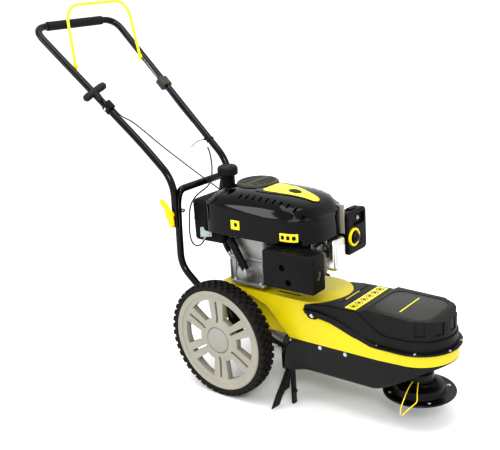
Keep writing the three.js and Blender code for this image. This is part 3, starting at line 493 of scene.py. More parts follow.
def bolt(name, centre, direction, radius=5.0, height=3.5, washer=True):
    """A flanged hex bolt head seen from outside, standing on its centre point."""
    direction = Vector(direction).normalized()
    head = turned(name, [(0, 0), (radius, 0), (radius, height * 0.75), (radius * 0.86, height), (0, height)],
                  6, centre, direction)
    soften(head, 0.3, 2)
    if washer:
        disc = turned("washer", [(0, -0.2), (radius * 1.45, -0.2), (radius * 1.45, 0.7), (0, 0.9)], 32,
                      centre, direction)
        smooth(disc)
        head = merge(name, head, disc)
    return head


# ---------------------------------------------------------------- wheels


def wheel_point(radius, angle, outward, side):
    """A place on a wheel: its radius and angle about the axle, and how far out from its middle."""
    y = side * (WHEEL_Y + outward)
    return (radius * math.cos(angle), y, WHEEL_RADIUS + radius * math.sin(angle))


def wheel_window(middle, half_inner, half_outer, inner, outer):
    """The outline of one opening in the wheel's face, seen along the axle."""
    out = []
    for i in range(9):
        a = middle - half_outer + 2 * half_outer * i / 8
        out.append((outer * math.cos(a), WHEEL_RADIUS + outer * math.sin(a)))
    for i in range(5):
        a = middle + half_inner - 2 * half_inner * i / 4
        out.append((inner * math.cos(a), WHEEL_RADIUS + inner * math.sin(a)))
    return out


def make_rim(side, name, body, node):
    """The barrel, the face with six windows and six slots, and the core about the axle."""
    half = TYRE_WIDTH / 2
    hub = (0, side * WHEEL_Y, WHEEL_RADIUS)
    out = (0, side, 0)
    rim = turned(name, [(147, -half + 4), (RIM_RADIUS, -half + 4), (RIM_RADIUS, half - 3),
                 (152.5, half - 0.4), (146, half - 2.5), (139, half - 4), (139, half - 30),
                 (147, half - 32)], 96, hub, out)
    face = turned("face", [(0, half - 31), (142, half - 31), (142, half - 4.5), (128, half - 9.5),
                           (70, half - 12), (52, half - 8.5), (41, half - 7.5), (40.5, half - 15.7),
                           (0, half - 15.7)], 96, hub, out)
    core = turned("core", [(8.5, -half + 4), (26, -half + 4), (31, half - 28), (8.5, half - 28)], 48,
                  hub, out)
    near, far = side * (WHEEL_Y - 40), side * (WHEEL_Y + 60)
    holes = []
    for i in range(6):
        middle = i * math.pi / 3
        holes.append(prism("window", wheel_window(middle, 0.21, 0.305, 69, 126), near, far, "y"))
        slot = middle + math.pi / 6
        holes.append(prism("slot", wheel_window(slot, 0.068, 0.031, 55, 123), near, far, "y"))
    rim = join(rim, cut(face, *holes), core)
    soften(rim, 1.5, 3, 35)
    return finish(rim, RIM_MOULDING, node, body=body)


def make_tyre(side, name, body, node):
    """The carcass and four staggered rows of tread blocks."""
    half = TYRE_WIDTH / 2
    hub = (0, side * WHEEL_Y, WHEEL_RADIUS)
    carcass = turned(name, [(RIM_RADIUS + 0.4, -half + 4), (160, -half + 2), (165, -half + 0.8),
                     (169, -half + 2.5), (172, -half + 9), (173, 0), (172, half - 9), (169, half - 2.5),
                     (165, half - 0.8), (160, half - 2), (RIM_RADIUS + 0.4, half - 4)], 144, hub, (0,
                     side, 0))
    smooth(carcass, 50)
    verts, faces = [], []
    pitches = 46
    rows = [(-half + 0.4, -14.8, 0.0, 0.030), (-13.2, -0.8, 0.5, 0.012),
            (0.8, 13.2, 0.0, -0.012), (14.8, half - 0.4, 0.5, -0.030)]
    for low, high, phase, skew in rows:
        for i in range(pitches):
            middle = 2 * math.pi * (i + phase) / pitches
            reach = math.pi / pitches * 0.64
            first = len(verts)
            for outward, shift in ((low, -skew / 2), (high, skew / 2)):
                crown = WHEEL_RADIUS - 3.6 * (abs(outward) / half) ** 3
                for a in (-reach, reach):
                    angle = middle + a + shift
                    verts.append(wheel_point(166, angle, outward, side))
                    edge = outward * (0.985 if abs(outward) > 20 else 1)
                    verts.append(wheel_point(crown, angle, edge, side))
            a, b, c, d, e, f, g, h = range(first, first + 8)
            faces += [[a, b, d, c], [e, g, h, f], [a, e, f, b], [c, d, h, g], [b, f, h, d], [a, c, g, e]]
    blocks = soften(build("tread", verts, faces), 0.9, 2, 30)
    tyre = merge(name, carcass, blocks)
    return finish(tyre, TYRE_RUBBER, node, body=body)


def make_hub_cap(side, name, body, node):
    """The shallow cap over the wheel's middle."""
    half = TYRE_WIDTH / 2
    cap = turned(name, [(0, half - 15.4), (39.4, half - 15.4), (39.6, half - 9), (38.4, half - 6.6),
                        (34, half - 5.2), (30, half - 4.4), (16, half - 3.4), (0, half - 3.0)], 72,
                 (0, side * WHEEL_Y, WHEEL_RADIUS), (0, side, 0))
    smooth(cap, 30)
    return finish(cap, HUB_MOULDING, node, body=body)


def make_wheels():
    for side, word in SIDES:
        body = "wheel_" + word
        make_rim(side, "rim_" + word, body, "wheel_rim_" + word)
        make_tyre(side, "treaded_tyre_" + word, body, "tyre_" + word)
        make_hub_cap(side, "cap_" + word, body, "hub_cap_" + word)
    end = WHEEL_Y + TYRE_WIDTH / 2 - 16.5
    axle = rod("turned_axle", (0, -end, WHEEL_RADIUS), (0, end, WHEEL_RADIUS), 8, 48, 1)
    finish(smooth(axle), ZINC, "axle")


# ---------------------------------------------------------------- frame, handle and bail


def on_handle(share, side, lift=0.0):
    """A point on the handle's straight upper run: 0 at the top corner, 1 at the kink."""
    low = Vector((HANDLE_KINK.x, side * HANDLE_KINK.y, HANDLE_KINK.z))
    high = Vector((HANDLE_TOP.x, side * HANDLE_TOP.y, HANDLE_TOP.z))
    run = low - high
    return high + run * share + Vector((-run.z, 0, run.x)).normalized() * lift


def handle_path():
    """The middle line of the upper handle's tube, from one folding bolt round to the other."""
    def half(side):
        return [(-192, side * HANDLE_Y, 488), (-186, side * HANDLE_Y, 632),
                (HANDLE_KINK.x, side * HANDLE_KINK.y, HANDLE_KINK.z),
                (HANDLE_TOP.x, side * HANDLE_TOP.y, HANDLE_TOP.z)]
    return bent(half(-1) + half(1)[::-1], 56, 12)


def make_lower_frame():
    """The bent tube that carries the handle, with a lug about the axle on each side."""
    def half(side):
        y = side * FRAME_Y
        return [(62, y, 262), (-104, y, 262), (-208, y, 352), (-204, y, 470), (-199, y, 560), (-184, y, 600)]
    tube = sweep("bent_frame", bent(half(-1) + half(1)[::-1], 40, 10), TUBE_RADIUS, 28)
    smooth(tube, 50)
    lugs = []
    for side in (-1, 1):
        y = side * FRAME_Y
        lug = prism("lug", [(-24, 166), (24, 166), (32, 258), (-32, 258)], y - 3, y + 3, "y")
        bore = rod("bore", (0, y - 9, WHEEL_RADIUS), (0, y + 9, WHEEL_RADIUS), 8.3, 40)
        lugs.append(soften(cut(lug, bore), 0.8))
    finish(merge("bent_frame_skin", tube, *lugs), TUBE_PAINT, "lower_frame")


def make_upper_handle():
    tube = sweep("handle_skin", handle_path(), TUBE_RADIUS, 28)
    finish(smooth(tube, 50), TUBE_PAINT, "upper_handle", body="handle")
    x, z = HANDLE_TOP.x, HANDLE_TOP.z
    g, r = GRIP_HALF, 14.4
    profile = [(TUBE_RADIUS + 0.6, -g), (r - 1.6, -g), (r, -g + 2), (r, -g + 6)]
    profile += [(r, g - 6), (r, g - 2), (r - 1.6, g), (TUBE_RADIUS + 0.6, g)]
    grip = turned("foam_grip", profile, 48, (x, 0, z), (0, 1, 0))
    finish(smooth(grip, 40), FOAM, "handle_grip", body="handle")


def make_bail():
    """The yellow stop bar, which hinges on a pin inside each handle tube."""
    x, y, z = on_handle(0.36, 1, 4)
    low = y - 19
    half = lambda s: [(x, s * low, z - 14), (x, s * low, z), (-582, s * 130, 1152)]
    rods = sweep("bail_rod", bent(half(-1) + half(1)[::-1], 58, 14), 4.4, 20)
    smooth(rods, 50)
    eyes = [soften(turned("eye", [(2.6, -3.6), (7.4, -3.6), (7.4, 3.6), (2.6, 3.6)], 32,
                          (x, s * low, z), (0, 1, 0)), 0.7) for s in (-1, 1)]
    finish(merge("bail_bar", rods, *eyes), YELLOW_ROD, "bail_lever", body="bail")
    for side, word in SIDES:
        pin = rod("pin", (x, side * (low - 9), z), (x, side * (y - TUBE_RADIUS - 0.4), z), 2.2, 20, 0.4)
        head = rod("head", (x, side * (low - 9), z), (x, side * (low - 5), z), 4.6, 24, 1.0)
        piece = merge("cross_pin_" + word, smooth(pin), smooth(head))
        finish(piece, YELLOW_ROD, "bail_pin_" + word, body="handle")


def aligned_prism(name, outline, start, end, up):
    """Extrudes an outline from one point to another; the outline's second axis leans towards up."""
    start, end = Vector(start), Vector(end)
    w = (end - start).normalized()
    u = Vector(up).cross(w).normalized()
    v = w.cross(u)
    return between(name, [start + u * a + v * b for a, b in outline],
                   [end + u * a + v * b for a, b in outline])


def make_handle_fittings():
    """The cable's clamp on the left tube and the rope's guide on the right one."""
    run = (on_handle(1, 1) - on_handle(0, 1)).normalized()
    middle = on_handle(0.605, 1)
    shell = aligned_prism("clamp", rounded(-21, 14.3, -14.3, 14.3, 5), middle - run * 18, middle + run * 18,
                          (0.66, 0, 0.75))
    bore = rod("bore", middle - run * 30, middle + run * 30, TUBE_RADIUS + 0.4, 40)
    groove = aligned_prism("groove", [(-30, -1), (-12, -1), (-12, 1), (-30, 1)], middle - run * 30,
                           middle + run * 30, (0.66, 0, 0.75))
    clamp = soften(cut(shell, bore, groove), 1.2)
    finish(clamp, OLIVE_MOULDING, "cable_clamp", body="handle")

    run = (on_handle(1, -1) - on_handle(0, -1)).normalized()
    middle = on_handle(0.705, -1)
    start, end = middle - run * 13, middle + run * 13
    collar = aligned_prism("guide", rounded(-14, 14, -14, 14, 13), start, end, (0.66, 0, 0.75))
    lobe = aligned_prism("lobe", rounded(-9, 9, 8, 24, 7.5), start, end, (0.66, 0, 0.75))
    bore = rod("bore", middle - run * 30, middle + run * 30, TUBE_RADIUS + 0.4, 40)
    eye = aligned_prism("eye", rounded(-4, 4, 13, 21, 3.8), middle - run * 30, middle + run * 30,
                        (0.66, 0, 0.75))
    guide = soften(cut(join(collar, lobe), bore, eye), 0.9)
    screw = bolt("guide_screw", middle + Vector((0, -14, 0)), (0, -1, 0), 3.2, 2.4)
    finish(guide, BLACK_MOULDING, "rope_guide", body="handle")
    finish(screw, ZINC, body="handle")


def make_starter_handle():
    """The T-shaped pull at the end of the starter rope."""
    beside = Vector((0, -14, 0))
    seat = on_handle(0.66, -1, 16) + beside
    tip = on_handle(0.592, -1, 18) + beside
    stem = turned("stem", [(0, 0), (4.6, 0), (6.5, 6), (8.4, 12), (9, 30), (7, 36), (0, 36)], 40,
                  seat, tip - seat)
    reach = Vector((19, 31, 21))
    path = [tip + reach * (t / 10) - (seat - tip).normalized() * -2.5 * (t / 10) ** 2 for t in range(-10, 11)]
    swell = lambda t: 12.0 * (1 - abs(2 * t - 1) ** 7) ** 0.5 * (0.88 + 0.12 * abs(2 * t - 1)) + 0.6
    grip = smooth(sweep("pull_grip", path, swell, 28), 60)
    piece = merge("pull_handle", grip, smooth(stem))
    finish(piece, DARK_MOULDING, "starter_handle", body="starter_pull")


# ---------------------------------------------------------------- rope and cables

ROPE_ROUTE = [on_handle(0.735, -1, 16), on_handle(0.80, -1, 17), (-330, -134, 802), (-250, -102, 730),
              (-160, -64, 652), (-102, -39, 604), (-88, -33, 592)]
CABLE_UPPER = [(x, y - 18, z) for x, y, z in (
    on_handle(0.56, 1, 5), on_handle(0.62, 1, 4),
    on_handle(0.72, 1, 3), on_handle(0.82, 1, 2), on_handle(0.95, 1, 3))]
CABLE_LOWER = [
    (-258, 116, 680), (-247, 112, 662), (-236, 104, 636), (-222, 88, 612), (-205, 62, 592),
    (-190, 32, 582), (-178, 2, 578), (-173, -28, 574), (-172, -56, 564), (-173, -78, 542),
    (-172, -89, 510), (-171, -93, 480), (-170, -95, 452), (-160, -97, 430), (-142, -99, 424),
    (-122, -101, 432), (-106, -103, 448), (-94, -105.5, 462)]


def make_rope_and_cables():
    rope = smooth(sweep("recoil_rope", flowing(ROPE_ROUTE, 10), 1.8, 12), 60)
    finish(rope, BRAID, "starter_rope")
    upper = smooth(sweep("cable_on_handle", flowing(CABLE_UPPER, 8), 2.3, 12), 60)
    finish(upper, SHEATH, "stop_cable_upper", body="handle")
    lower = smooth(sweep("cable_to_engine", flowing(CABLE_LOWER, 8), 2.2, 14), 60)
    finish(lower, SHEATH, "stop_cable_lower")
    for piece, route in ((rope, ROPE_ROUTE), (lower, CABLE_LOWER[:8])):
        piece.parent = None
        del piece["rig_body"]
        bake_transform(piece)

    inner = [on_handle(share, 1, lift) + Vector((0, -18, 0))
             for share, lift in ((0.375, 9), (0.47, 7), (0.57, 5))]
    wire = smooth(sweep("inner_wire", flowing(inner, 6), 0.9, 8), 60)
    finish(wire, WIRE, body="handle")

    path = handle_path()
    spot = min(range(len(path)), key=lambda i: (path[i] - Vector((-244, 133, 690))).length)
    centre, way = path[spot], (path[spot + 1] - path[spot - 1]).normalized()
    tie = turned("tie_band", [(TUBE_RADIUS + 0.3, -2.4), (TUBE_RADIUS + 1.9, -2.4), (TUBE_RADIUS + 1.9, 2.4),
                              (TUBE_RADIUS + 0.3, 2.4)], 40, centre, way)
    lock = aligned_prism("tie_lock", rounded(-3.5, 3.5, -3.5, 3.5, 1), centre + Vector((-9, -9, 2)),
                         centre + Vector((-14, -14, 4)), (0, 0, 1))
    tail = sweep("tie_tail", flowing([centre + Vector((-12, -12, 3)), centre + Vector((-30, -26, -2)),
                                      centre + Vector((-50, -38, -20))], 6), 1.1, 8)
    piece = merge("cable_tie_band", smooth(tie), soften(lock, 0.5), smooth(tail, 60))
    finish(piece, SOFT_RUBBER, "cable_tie", body="handle")


# ---------------------------------------------------------------- folding clamps


LEVER_CURVES = (
    ((14, -46), (20, -30), (16, -8), (8, 10)),
    ((8, 10), (-2, 34), (-22, 50), (-32, 52)),
    ((-32, 52), (-40, 50), (-38, 40), (-32, 32)),
    ((-32, 32), (-18, 16), (-12, -4), (-6, -24)),
    ((-6, -24), (-2, -38), (4, -50), (14, -46)))


def make_clamps():
    """The wing-shaped levers outside the handle and the bolts that they turn on."""
    x, z = FOLD_PIVOT
    outer = HANDLE_Y + TUBE_RADIUS
    outline = [(x + 3 + 0.86 * u, z + 3 + 0.86 * v) for curve in LEVER_CURVES for u, v in bezier(*curve)]
    plate = prism("lever", outline, -outer - 17, -outer - 9.5, "y")
    hub = rod("hub", (x, -(outer + 2.6), z), (x, -(outer + 15.5), z), 13, 40)
    hole = rod("hole", (x - 13, -outer - 30, z + 21), (x - 13, -outer - 5, z + 21), 4, 24)
    lever = soften(cut(join(plate, hub), hole), 2.0, 4, 40)
    left = mirror(lever, "wing_lever_left")
    lever.name = "wing_lever_right"
    finish(lever, YELLOW_MOULDING, "clamp_lever_right", body="clamp_right")
    finish(left, YELLOW_MOULDING, "clamp_lever_left", body="clamp_left")

    inner = FRAME_Y - TUBE_RADIUS
    shank = rod("shank", (x, -(inner - 12), z), (x, -(outer + 8.5), z), 3, 24, 0.6)
    nut = turned("nut", [(3, 0), (7, 0), (7, 6.2), (3, 6.2)], 6, (x, -(inner - 7.2), z), (0, -1, 0))
    washer = rod("washer", (x, -(outer + 0.3), z), (x, -(outer + 2.3), z), 9, 40, 0.3)
    right = merge("fold_bolt_right", smooth(shank), soften(nut, 0.4, 2), smooth(washer))
    left = mirror(right, "fold_bolt_left")
    finish(right, ZINC, "clamp_bolt_right")
    finish(left, ZINC, "clamp_bolt_left")


# ---------------------------------------------------------------- deck and belt cover


def deck_outline(inset, rear=DECK_REAR):
    """The deck from above: parallel sides that close into a round nose about the trimmer shaft."""
    half = DECK_HALF - inset
    return ([(rear + inset, -half), (SIDE_END, -half)]
            + arc((HEAD_X, 0), DECK_NOSE - inset, -90, 90, 48)
            + [(SIDE_END, half), (rear + inset, half)])


def deck_lean():
    """How far the deck's sides lean in for each millimetre above the chamfer."""
    return (DECK_HALF - DECK_TOP_HALF) / (DECK_TOP - DECK_CHAMFER_Z)


def deck_section(inset, top):
    """Across the machine: upright sides, leaning in above the chamfer."""
    half = DECK_HALF - inset
    top_half = half - deck_lean() * (top - DECK_CHAMFER_Z)
    return [(-half, DECK_BOTTOM - 5), (half, DECK_BOTTOM - 5), (half, DECK_CHAMFER_Z), (top_half, top),
            (-top_half, top), (-half, DECK_CHAMFER_Z)]


def deck_body(inset, name="deck_solid"):
    """The deck as a solid, drawn in by an inset: base with its ramp, engine platform and round lobe."""
    bottom = DECK_BOTTOM - (2 if inset else 0)
    top = DECK_TOP - inset
    low = prism(name, deck_outline(inset), bottom, top)
    side = prism("side", [(DECK_REAR, bottom), (680, bottom), (680, RAMP_FRONT[1] - inset),
                          (RAMP_FRONT[0], RAMP_FRONT[1] - inset), (RAMP_MIDDLE[0], RAMP_MIDDLE[1] - inset),
                          (RAMP_REAR[0], RAMP_REAR[1] - inset),
                          (DECK_REAR, RAMP_REAR[1] - inset)], -130, 130, "y")
    base = common(low, side, prism("section", deck_section(inset, top), DECK_REAR - 5, 690, "x"))
    half = DECK_HALF - inset
    platform = common(prism("platform", deck_section(inset, top), DECK_REAR + inset, LOBE_X, "x"),
                      block("above", DECK_REAR - 9, LOBE_X + 9, -130, 130, DECK_CHAMFER_Z, top + 5))
    nose = turned("lobe", [(0, DECK_CHAMFER_Z - 10), (half, DECK_CHAMFER_Z - 10), (half, DECK_CHAMFER_Z),
                           (half - deck_lean() * (top - DECK_CHAMFER_Z), top), (0, top)], 96,
                  (LOBE_X, 0, 0))
    return join(base, platform, nose)


def side_prism(outline, y0, y1, sign):
    low, high = sorted((sign * y0, sign * y1))
    return prism("side_cut", outline, low, high, "y")


def make_deck():
    deck = cut(soften(deck_body(0, "pressed_deck"), 5.5, 4), deck_body(3))
    recess = [(DECK_REAR - 5, 190), (212, 190), (206, 203), (162, 250), (126, 284), (70, 306),
              (DECK_REAR - 5, 306)]
    wall = [(DECK_REAR, DECK_BOTTOM), (208, DECK_BOTTOM), (161, 251), (127, 287), (70, 309), (DECK_REAR, 309)]
    shelf = [(204, DECK_BOTTOM), (209, DECK_BOTTOM), (164, 252), (128, 288), (71, 310), (DECK_REAR, 310),
             (DECK_REAR, 306), (70, 306), (126, 284), (162, 250)]
    for sign in (-1, 1):
        deck = cut(deck, side_prism(recess, 94, 125, sign))
        deck = join(deck, side_prism(wall, 91, 94, sign), side_prism(shelf, 91, 111, sign))
    slot = prism("slot", rounded(138, 226, -73, -61, 5.8), 310, 330)
    deck = cut(deck, slot, block("belt_way", 262, 500, -72, 72, 236, 312),
               rod("crank_hole", (CRANK_X, 0, 300), (CRANK_X, 0, 330), 24, 48),
               rod("head_hole", (HEAD_X, 0, 220), (HEAD_X, 0, 245), 24, 48))
    smooth(deck, 30)
    finish(deck, YELLOW_STEEL, "deck")
    for i, (x, y, z, way) in enumerate(((247, -106.3, 268, -1), (247, 106.3, 268, 1))):
        screw = bolt(f"deck_screw_{i}", (x, y, z), (0, way, 0.16), 3.6, 3)
        finish(screw, ZINC)


COVER_HALF, COVER_NOSE, COVER_WALL, COVER_FLANGE = 109, 100, 3, 116
COVER_PLATEAU, COVER_HEAD = 324, 333
EAR_BOLT = (286, 289.5)
LABEL_REAR, LABEL_FRONT, LABEL_HALF = 381, 417, 91
PANEL_REAR, PANEL_FRONT, PANEL_HALF, PANEL_CORNER, PANEL_GAP = 450, 622, 78, 40, 0.8


def cover_body(inset, name="cover_solid"):
    """The belt cover as a solid, drawn in by an inset: plateau, raised head and round nose."""
    drop = 6 if inset else -0.6
    slope = (RAMP_REAR[1] - RAMP_MIDDLE[1]) / (RAMP_MIDDLE[0] - RAMP_REAR[0])
    start = 250 + inset
    top = COVER_HEAD - inset
    side = [(start, RAMP_REAR[1] + slope * (RAMP_REAR[0] - start) - drop),
            (RAMP_MIDDLE[0], RAMP_MIDDLE[1] - drop), (RAMP_FRONT[0], RAMP_FRONT[1] - drop),
            (680, RAMP_FRONT[1] - drop), (680, top - 26),
            (652 - inset, top - 14), (634 - inset, top - 7), (610, top - 5), (446 + inset, top),
            (430 + inset, COVER_PLATEAU - inset), (330, COVER_PLATEAU - 1 - inset), (start, 313 - inset)]
    half = COVER_HALF - inset
    section = [(-half, 225), (half, 225), (half, 262), (half - 14, COVER_HEAD), (-half + 14, COVER_HEAD),
               (-half, 262)]
    nose = COVER_NOSE - inset
    plan = ([(start, -half), (450, -half), (505, -nose)] + arc((HEAD_X, 0), nose, -90, 90, 48)
            + [(505, nose), (450, half), (start, half)])
    return common(prism(name, side, -130, 130, "y"), prism("section", section, 200, 700, "x"),
                  prism("plan", plan, 220, 340))


def make_belt_cover():
    upper = soften(cover_body(0, "cover_shell"), 5, 4)
    pockets = []
    for middle in (-62, -31, 0, 31, 62):
        outline = (arc((HEAD_X, 0), COVER_NOSE - 3, middle - 8, middle + 8, 6)
                   + arc((HEAD_X, 0), COVER_NOSE + 9, middle + 8, middle - 8, 6))
        pockets.append(prism("pocket", outline, 286, 345))
    upper = cut(upper, *pockets)
    line = [(250, 312), (330, 321), (424, 321), (506, 272), (700, 272), (700, 225), (470, 225), (250, 285)]
    lower = common(cover_body(-4), prism("lower_tier", line, -140, 140, "y"))
    cover = cut(join(upper, soften(lower, 2.2, 3, 28)), cover_body(COVER_WALL + 3))
    base = RAMP_FRONT[1] + 0.8
    flange = prism("flange", [(482, -COVER_FLANGE)] + arc((HEAD_X, 0), COVER_FLANGE, -90, 90, 48)
                   + [(482, COVER_FLANGE)], base, base + 5)
    cover = join(cover, cut(soften(flange, 1.4, 3), cover_body(COVER_WALL)))
    lobe = turned("lobe", [(0, 200), (DECK_HALF + 2, 200), (DECK_HALF + 2, DECK_CHAMFER_Z),
                           (DECK_TOP_HALF + 2, DECK_TOP), (DECK_TOP_HALF + 2, 345), (0, 345)], 96,
                  (LOBE_X, 0, 0))
    cover = cut(cover, lobe)
    for sign in (-1, 1):
        rail = [(262, 291), (262, 302), (300, 303), (356, 294), (478, 250), (500, 238), (474, 236.8),
                (345, 279)]
        cover = join(cover, soften(side_prism(rail, 104, 115.4, sign), 2.4, 3))
        ear = soften(side_prism(rounded(268, 305, 277, 302.5, 12), 100, 112.6, sign), 2, 3)
        cover = join(cover, ear)
    cover = cut(cover, deck_body(-0.4))
    recess = sheet_on("recess", panel_outline(0), 20, lambda x, y: head_top(x) - 2.0)
    groove = prism("groove", rounded(350, 356, -70, 84, 2.9, 4), 322.2, 345)
    cover = cut(cover, recess, groove)
    smooth(cover, 30)
    finish(cover, COVER_MOULDING, "belt_cover")
    x, z = EAR_BOLT
    for sign, word in SIDES:
        seat = bolt("cover_bolt_head_" + word, (x, sign * 112.9, z), (0, sign, 0), 5.6, 2.6)
        shank = rod("shank", (x, sign * 98, z), (x, sign * 112, z), 2.5, 20)
        finish(merge("cover_bolt_" + word + "_detail", seat, shank), ZINC, "cover_bolt_" + word)
    for i, (x, y) in enumerate(((488, 107), (488, -107), (600, 102), (600, -102), (667, 36), (667, -36))):
        screw = bolt(f"flange_screw_{i}", (x, y, base + 5.2), (0, 0, 1), 3.6, 3)
        finish(screw, ZINC)
    make_cover_trim()


def sheet_on(name, outline, thick, z_of):
    """A thin plate that follows a height field: z_of gives its underside at each point."""
    under = [(x, y, z_of(x, y)) for x, y in outline]
    return between(name, under, [(x, y, z + thick) for x, y, z in under])


def panel_outline(gap):
    """The outline of the panel in the cover's head, drawn in by a gap."""
    half = PANEL_HALF - gap
    return rounded(PANEL_REAR + gap, PANEL_FRONT - gap, -half, half, PANEL_CORNER - gap, 10)


def head_top(x):
    """The height of the cover's raised head, which falls slowly towards the nose."""
    return COVER_HEAD - (x - 446) * 5 / 164


def make_cover_trim():
    panel = sheet_on("cover_panel", panel_outline(PANEL_GAP), 1.4,
                     lambda x, y: head_top(x) - 2.1)
    finish(soften(panel, 0.5, 2), PANEL_GREY)
    low = lambda x, y: COVER_PLATEAU - 1.05 + max(0, x - 330) * 0.01
    label = sheet_on("icon_label", rounded(LABEL_REAR, LABEL_FRONT, -LABEL_HALF, LABEL_HALF, 3), 0.9, low)
    finish(soften(label, 0.25, 2), YELLOW_LABEL)
    bars = [sheet_on("bar", rounded(351, 354, -36, 36, 1.2, 3), 1.6, lambda x, y: 322.2),
            sheet_on("bar", rounded(530, 534, -56, 56, 1.6, 3), 0.9, lambda x, y: head_top(x) - 0.9)]
    finish(soften(merge("cover_bars", *bars), 0.3, 2), YELLOW_LABEL)
    marks = []
    for i in range(6):
        spot = ((LABEL_REAR + LABEL_FRONT) / 2, -72 + i * 28.8, COVER_PLATEAU + 0.45)
        marks.append(turned("mark", [(9.2, 0), (11.2, 0), (11.2, 0.3), (9.2, 0.3)], 32, spot))
        marks.append(turned("dot", [(0, 0), (5, 0), (5, 0.3), (0, 0.3)], 24, spot))
    finish(merge("label_marks", *marks), LABEL_INK)


# ---------------------------------------------------------------- guard, flaps and legs


GUARD_TOP, GUARD_LOW = 202.4, 112
GUARD_REAR, GUARD_FLARE = 188, 24
LEG_NEAR, LEG_FAR, LEG_TOP = 213.2, 220.8, 190
FLAP_X, FLAP_TOP, FLAP_THICK, FLAP_LEAN = 206.6, 150, 4.4, 0.13


def guard_height(x):
    """The height of the guard's lower edge: level, then sweeping up to the deck under the nose."""
    t = min(1, max(0, (x - 478) / (664 - 478)))
    return GUARD_LOW + (200 - GUARD_LOW) * (t * t * (3 - 2 * t) * 0.55 + t * 0.45)


def guard_flare(x):
    """How far the guard stands out from the deck's side: nothing in front, wide about the leg behind."""
    t = min(1, max(0, (262 - x) / (262 - 200)))
    return GUARD_FLARE * t * t * (3 - 2 * t) - 4 * max(0, (194 - x) / 10)


def make_guard():
    """The skirt round the trimmer, with a panel behind it that meets each flap."""
    line = deck_outline(1.5, GUARD_REAR - 1.5)
    fine = []
    for a, b in zip(line, line[1:]):
        a, b = Vector(a), Vector(b)
        count = max(1, int((b - a).length // 12))
        fine += [a + (b - a) * i / count for i in range(count)]
    fine.append(Vector(line[-1]))
    verts, faces = [], []
    rows = [(0.0, 0.0, 0.0), (0.01, 0.3, 0.85), (0.05, 0.4, 1.0), (0.5, 0.6, 1.0), (0.85, 0.2, 1.0),
            (0.95, -1.2, 1.0), (1.0, -4.5, 1.0)]
    for i, p in enumerate(fine):
        before, after = fine[max(0, i - 1)], fine[min(len(fine) - 1, i + 1)]
        way = (after - before).normalized()
        out = Vector((way.y, -way.x))
        high = GUARD_TOP - 45 * max(0, (228 - p.x) / 40) ** 2
        low = guard_height(p.x) - 5 * guard_flare(p.x) / GUARD_FLARE
        for share, push, flared in rows:
            z = high + (low - high) * share
            q = p + out * (push + flared * guard_flare(p.x))
            verts.append((q.x, q.y, z))
    n = len(rows)
    for i in range(len(fine) - 1):
        for k in range(n - 1):
            faces.append([i * n + k, (i + 1) * n + k, (i + 1) * n + k + 1, i * n + k + 1])
    wall = build("guard_wall", verts, faces)
    step = wall.modifiers.new("thick", "SOLIDIFY")
    step.thickness, step.offset = 2.6 * MM, 0
    step = wall.modifiers.new("fine", "SUBSURF")
    step.levels = 2
    apply(wall)
    smooth(wall, 60)
    edge = flowing([(104, 202.4, 0), (116, 194, 0), (124, 180, 0), (128, 164, 0), (130, 148, 0)], 6)
    edge = [(p.x, p.y) for p in edge] + [(118, 142), (112, 158)]
    outline = edge + [(-y, z) for y, z in reversed(edge)]
    panel = soften(prism("panel", outline, GUARD_REAR - 3.5, GUARD_REAR, "x"), 1.2, 3, 40)
    skirt = merge("guard_wall_moulded", wall, panel)
    finish(skirt, GUARD_BLACK, "guard_skirt")
    index = 0
    for x in (207, 310, 393):
        for sign in (-1, 1):
            screw = bolt(f"guard_screw_{index}", (x, sign * 113.4, 195), (0, sign, 0), 4.2, 3)
            finish(screw, ZINC)
            index += 1


def make_legs_and_flaps():
    legs = []
    for sign in (-1, 1):
        low, high = sorted((sign * 113.4, sign * 130.8))
        leg = soften(block("leg", LEG_NEAR, LEG_FAR, low, high, 0, LEG_TOP), 1.2, 3)
        nub = turned("nub", [(0, 0), (6, 0), (6, 4), (4.5, 6), (0, 6)], 28,
                     (LEG_FAR - 0.2, sign * 121, 40), (1, 0, 0))
        screw = bolt("leg_screw", (221, sign * 122, 178), (1, 0, 0), 4, 3)
        word = "right" if sign < 0 else "left"
        piece = merge("ground_leg_" + word, leg, smooth(nub), screw)
        finish(piece, BLACK_STEEL, "stand_leg_" + word)
    for sign, word in SIDES:
        outer = flowing([(113.4, 150, 0), (123, 154, 0), (130, 138, 0), (135, 118, 0), (144, 99, 0),
                         (158, 74, 0), (178, 45, 0), (198, 6, 0)], 6)
        edge = [(p.x, p.y) for p in outer] + [(161, 4), (150, 26), (138, 39), (113.4, 40)]
        rear = [(FLAP_X + (v - FLAP_TOP) * FLAP_LEAN, sign * u, v) for u, v in edge]
        front = [(x + FLAP_THICK, y, z) for x, y, z in rear]
        flap = soften(between("mud_flap_" + word, rear, front), 1.5, 3, 40)
        finish(flap, SOFT_RUBBER, "debris_flap_" + word)


# ---------------------------------------------------------------- engine cowl

COWL_BOTTOM, COWL_CROWN = 485, 612
COWL_BULGE = 24
VENTS, VENT_START, VENT_PITCH, VENT_ROWS = 10, 39, 24, (-99, 72)


def cowl_crease(x):
    """The height of the shoulder line, which falls towards the front."""
    return 571 - 0.076 * (min(max(x, -60), 140) + 49)


def cowl_plan(r, angle):
    """A point of the cowl's plan: round near the crown, a rounded rectangle at the skirt."""
    c, s = math.cos(angle), math.sin(angle)
    power = 2 + 5 * r ** 3
    square = r / (abs(c) ** power + abs(s) ** power) ** (1 / power)
    shift = -50 * (1 - r ** 1.5)
    bulge = COWL_BULGE * max(0, c) * r ** 3 * (1 - min(1, abs(s) * square / 0.72) ** 4)
    return (COWL_CENTRE.x + shift + c * square * COWL_A + bulge, COWL_CENTRE.y + s * square * COWL_B)


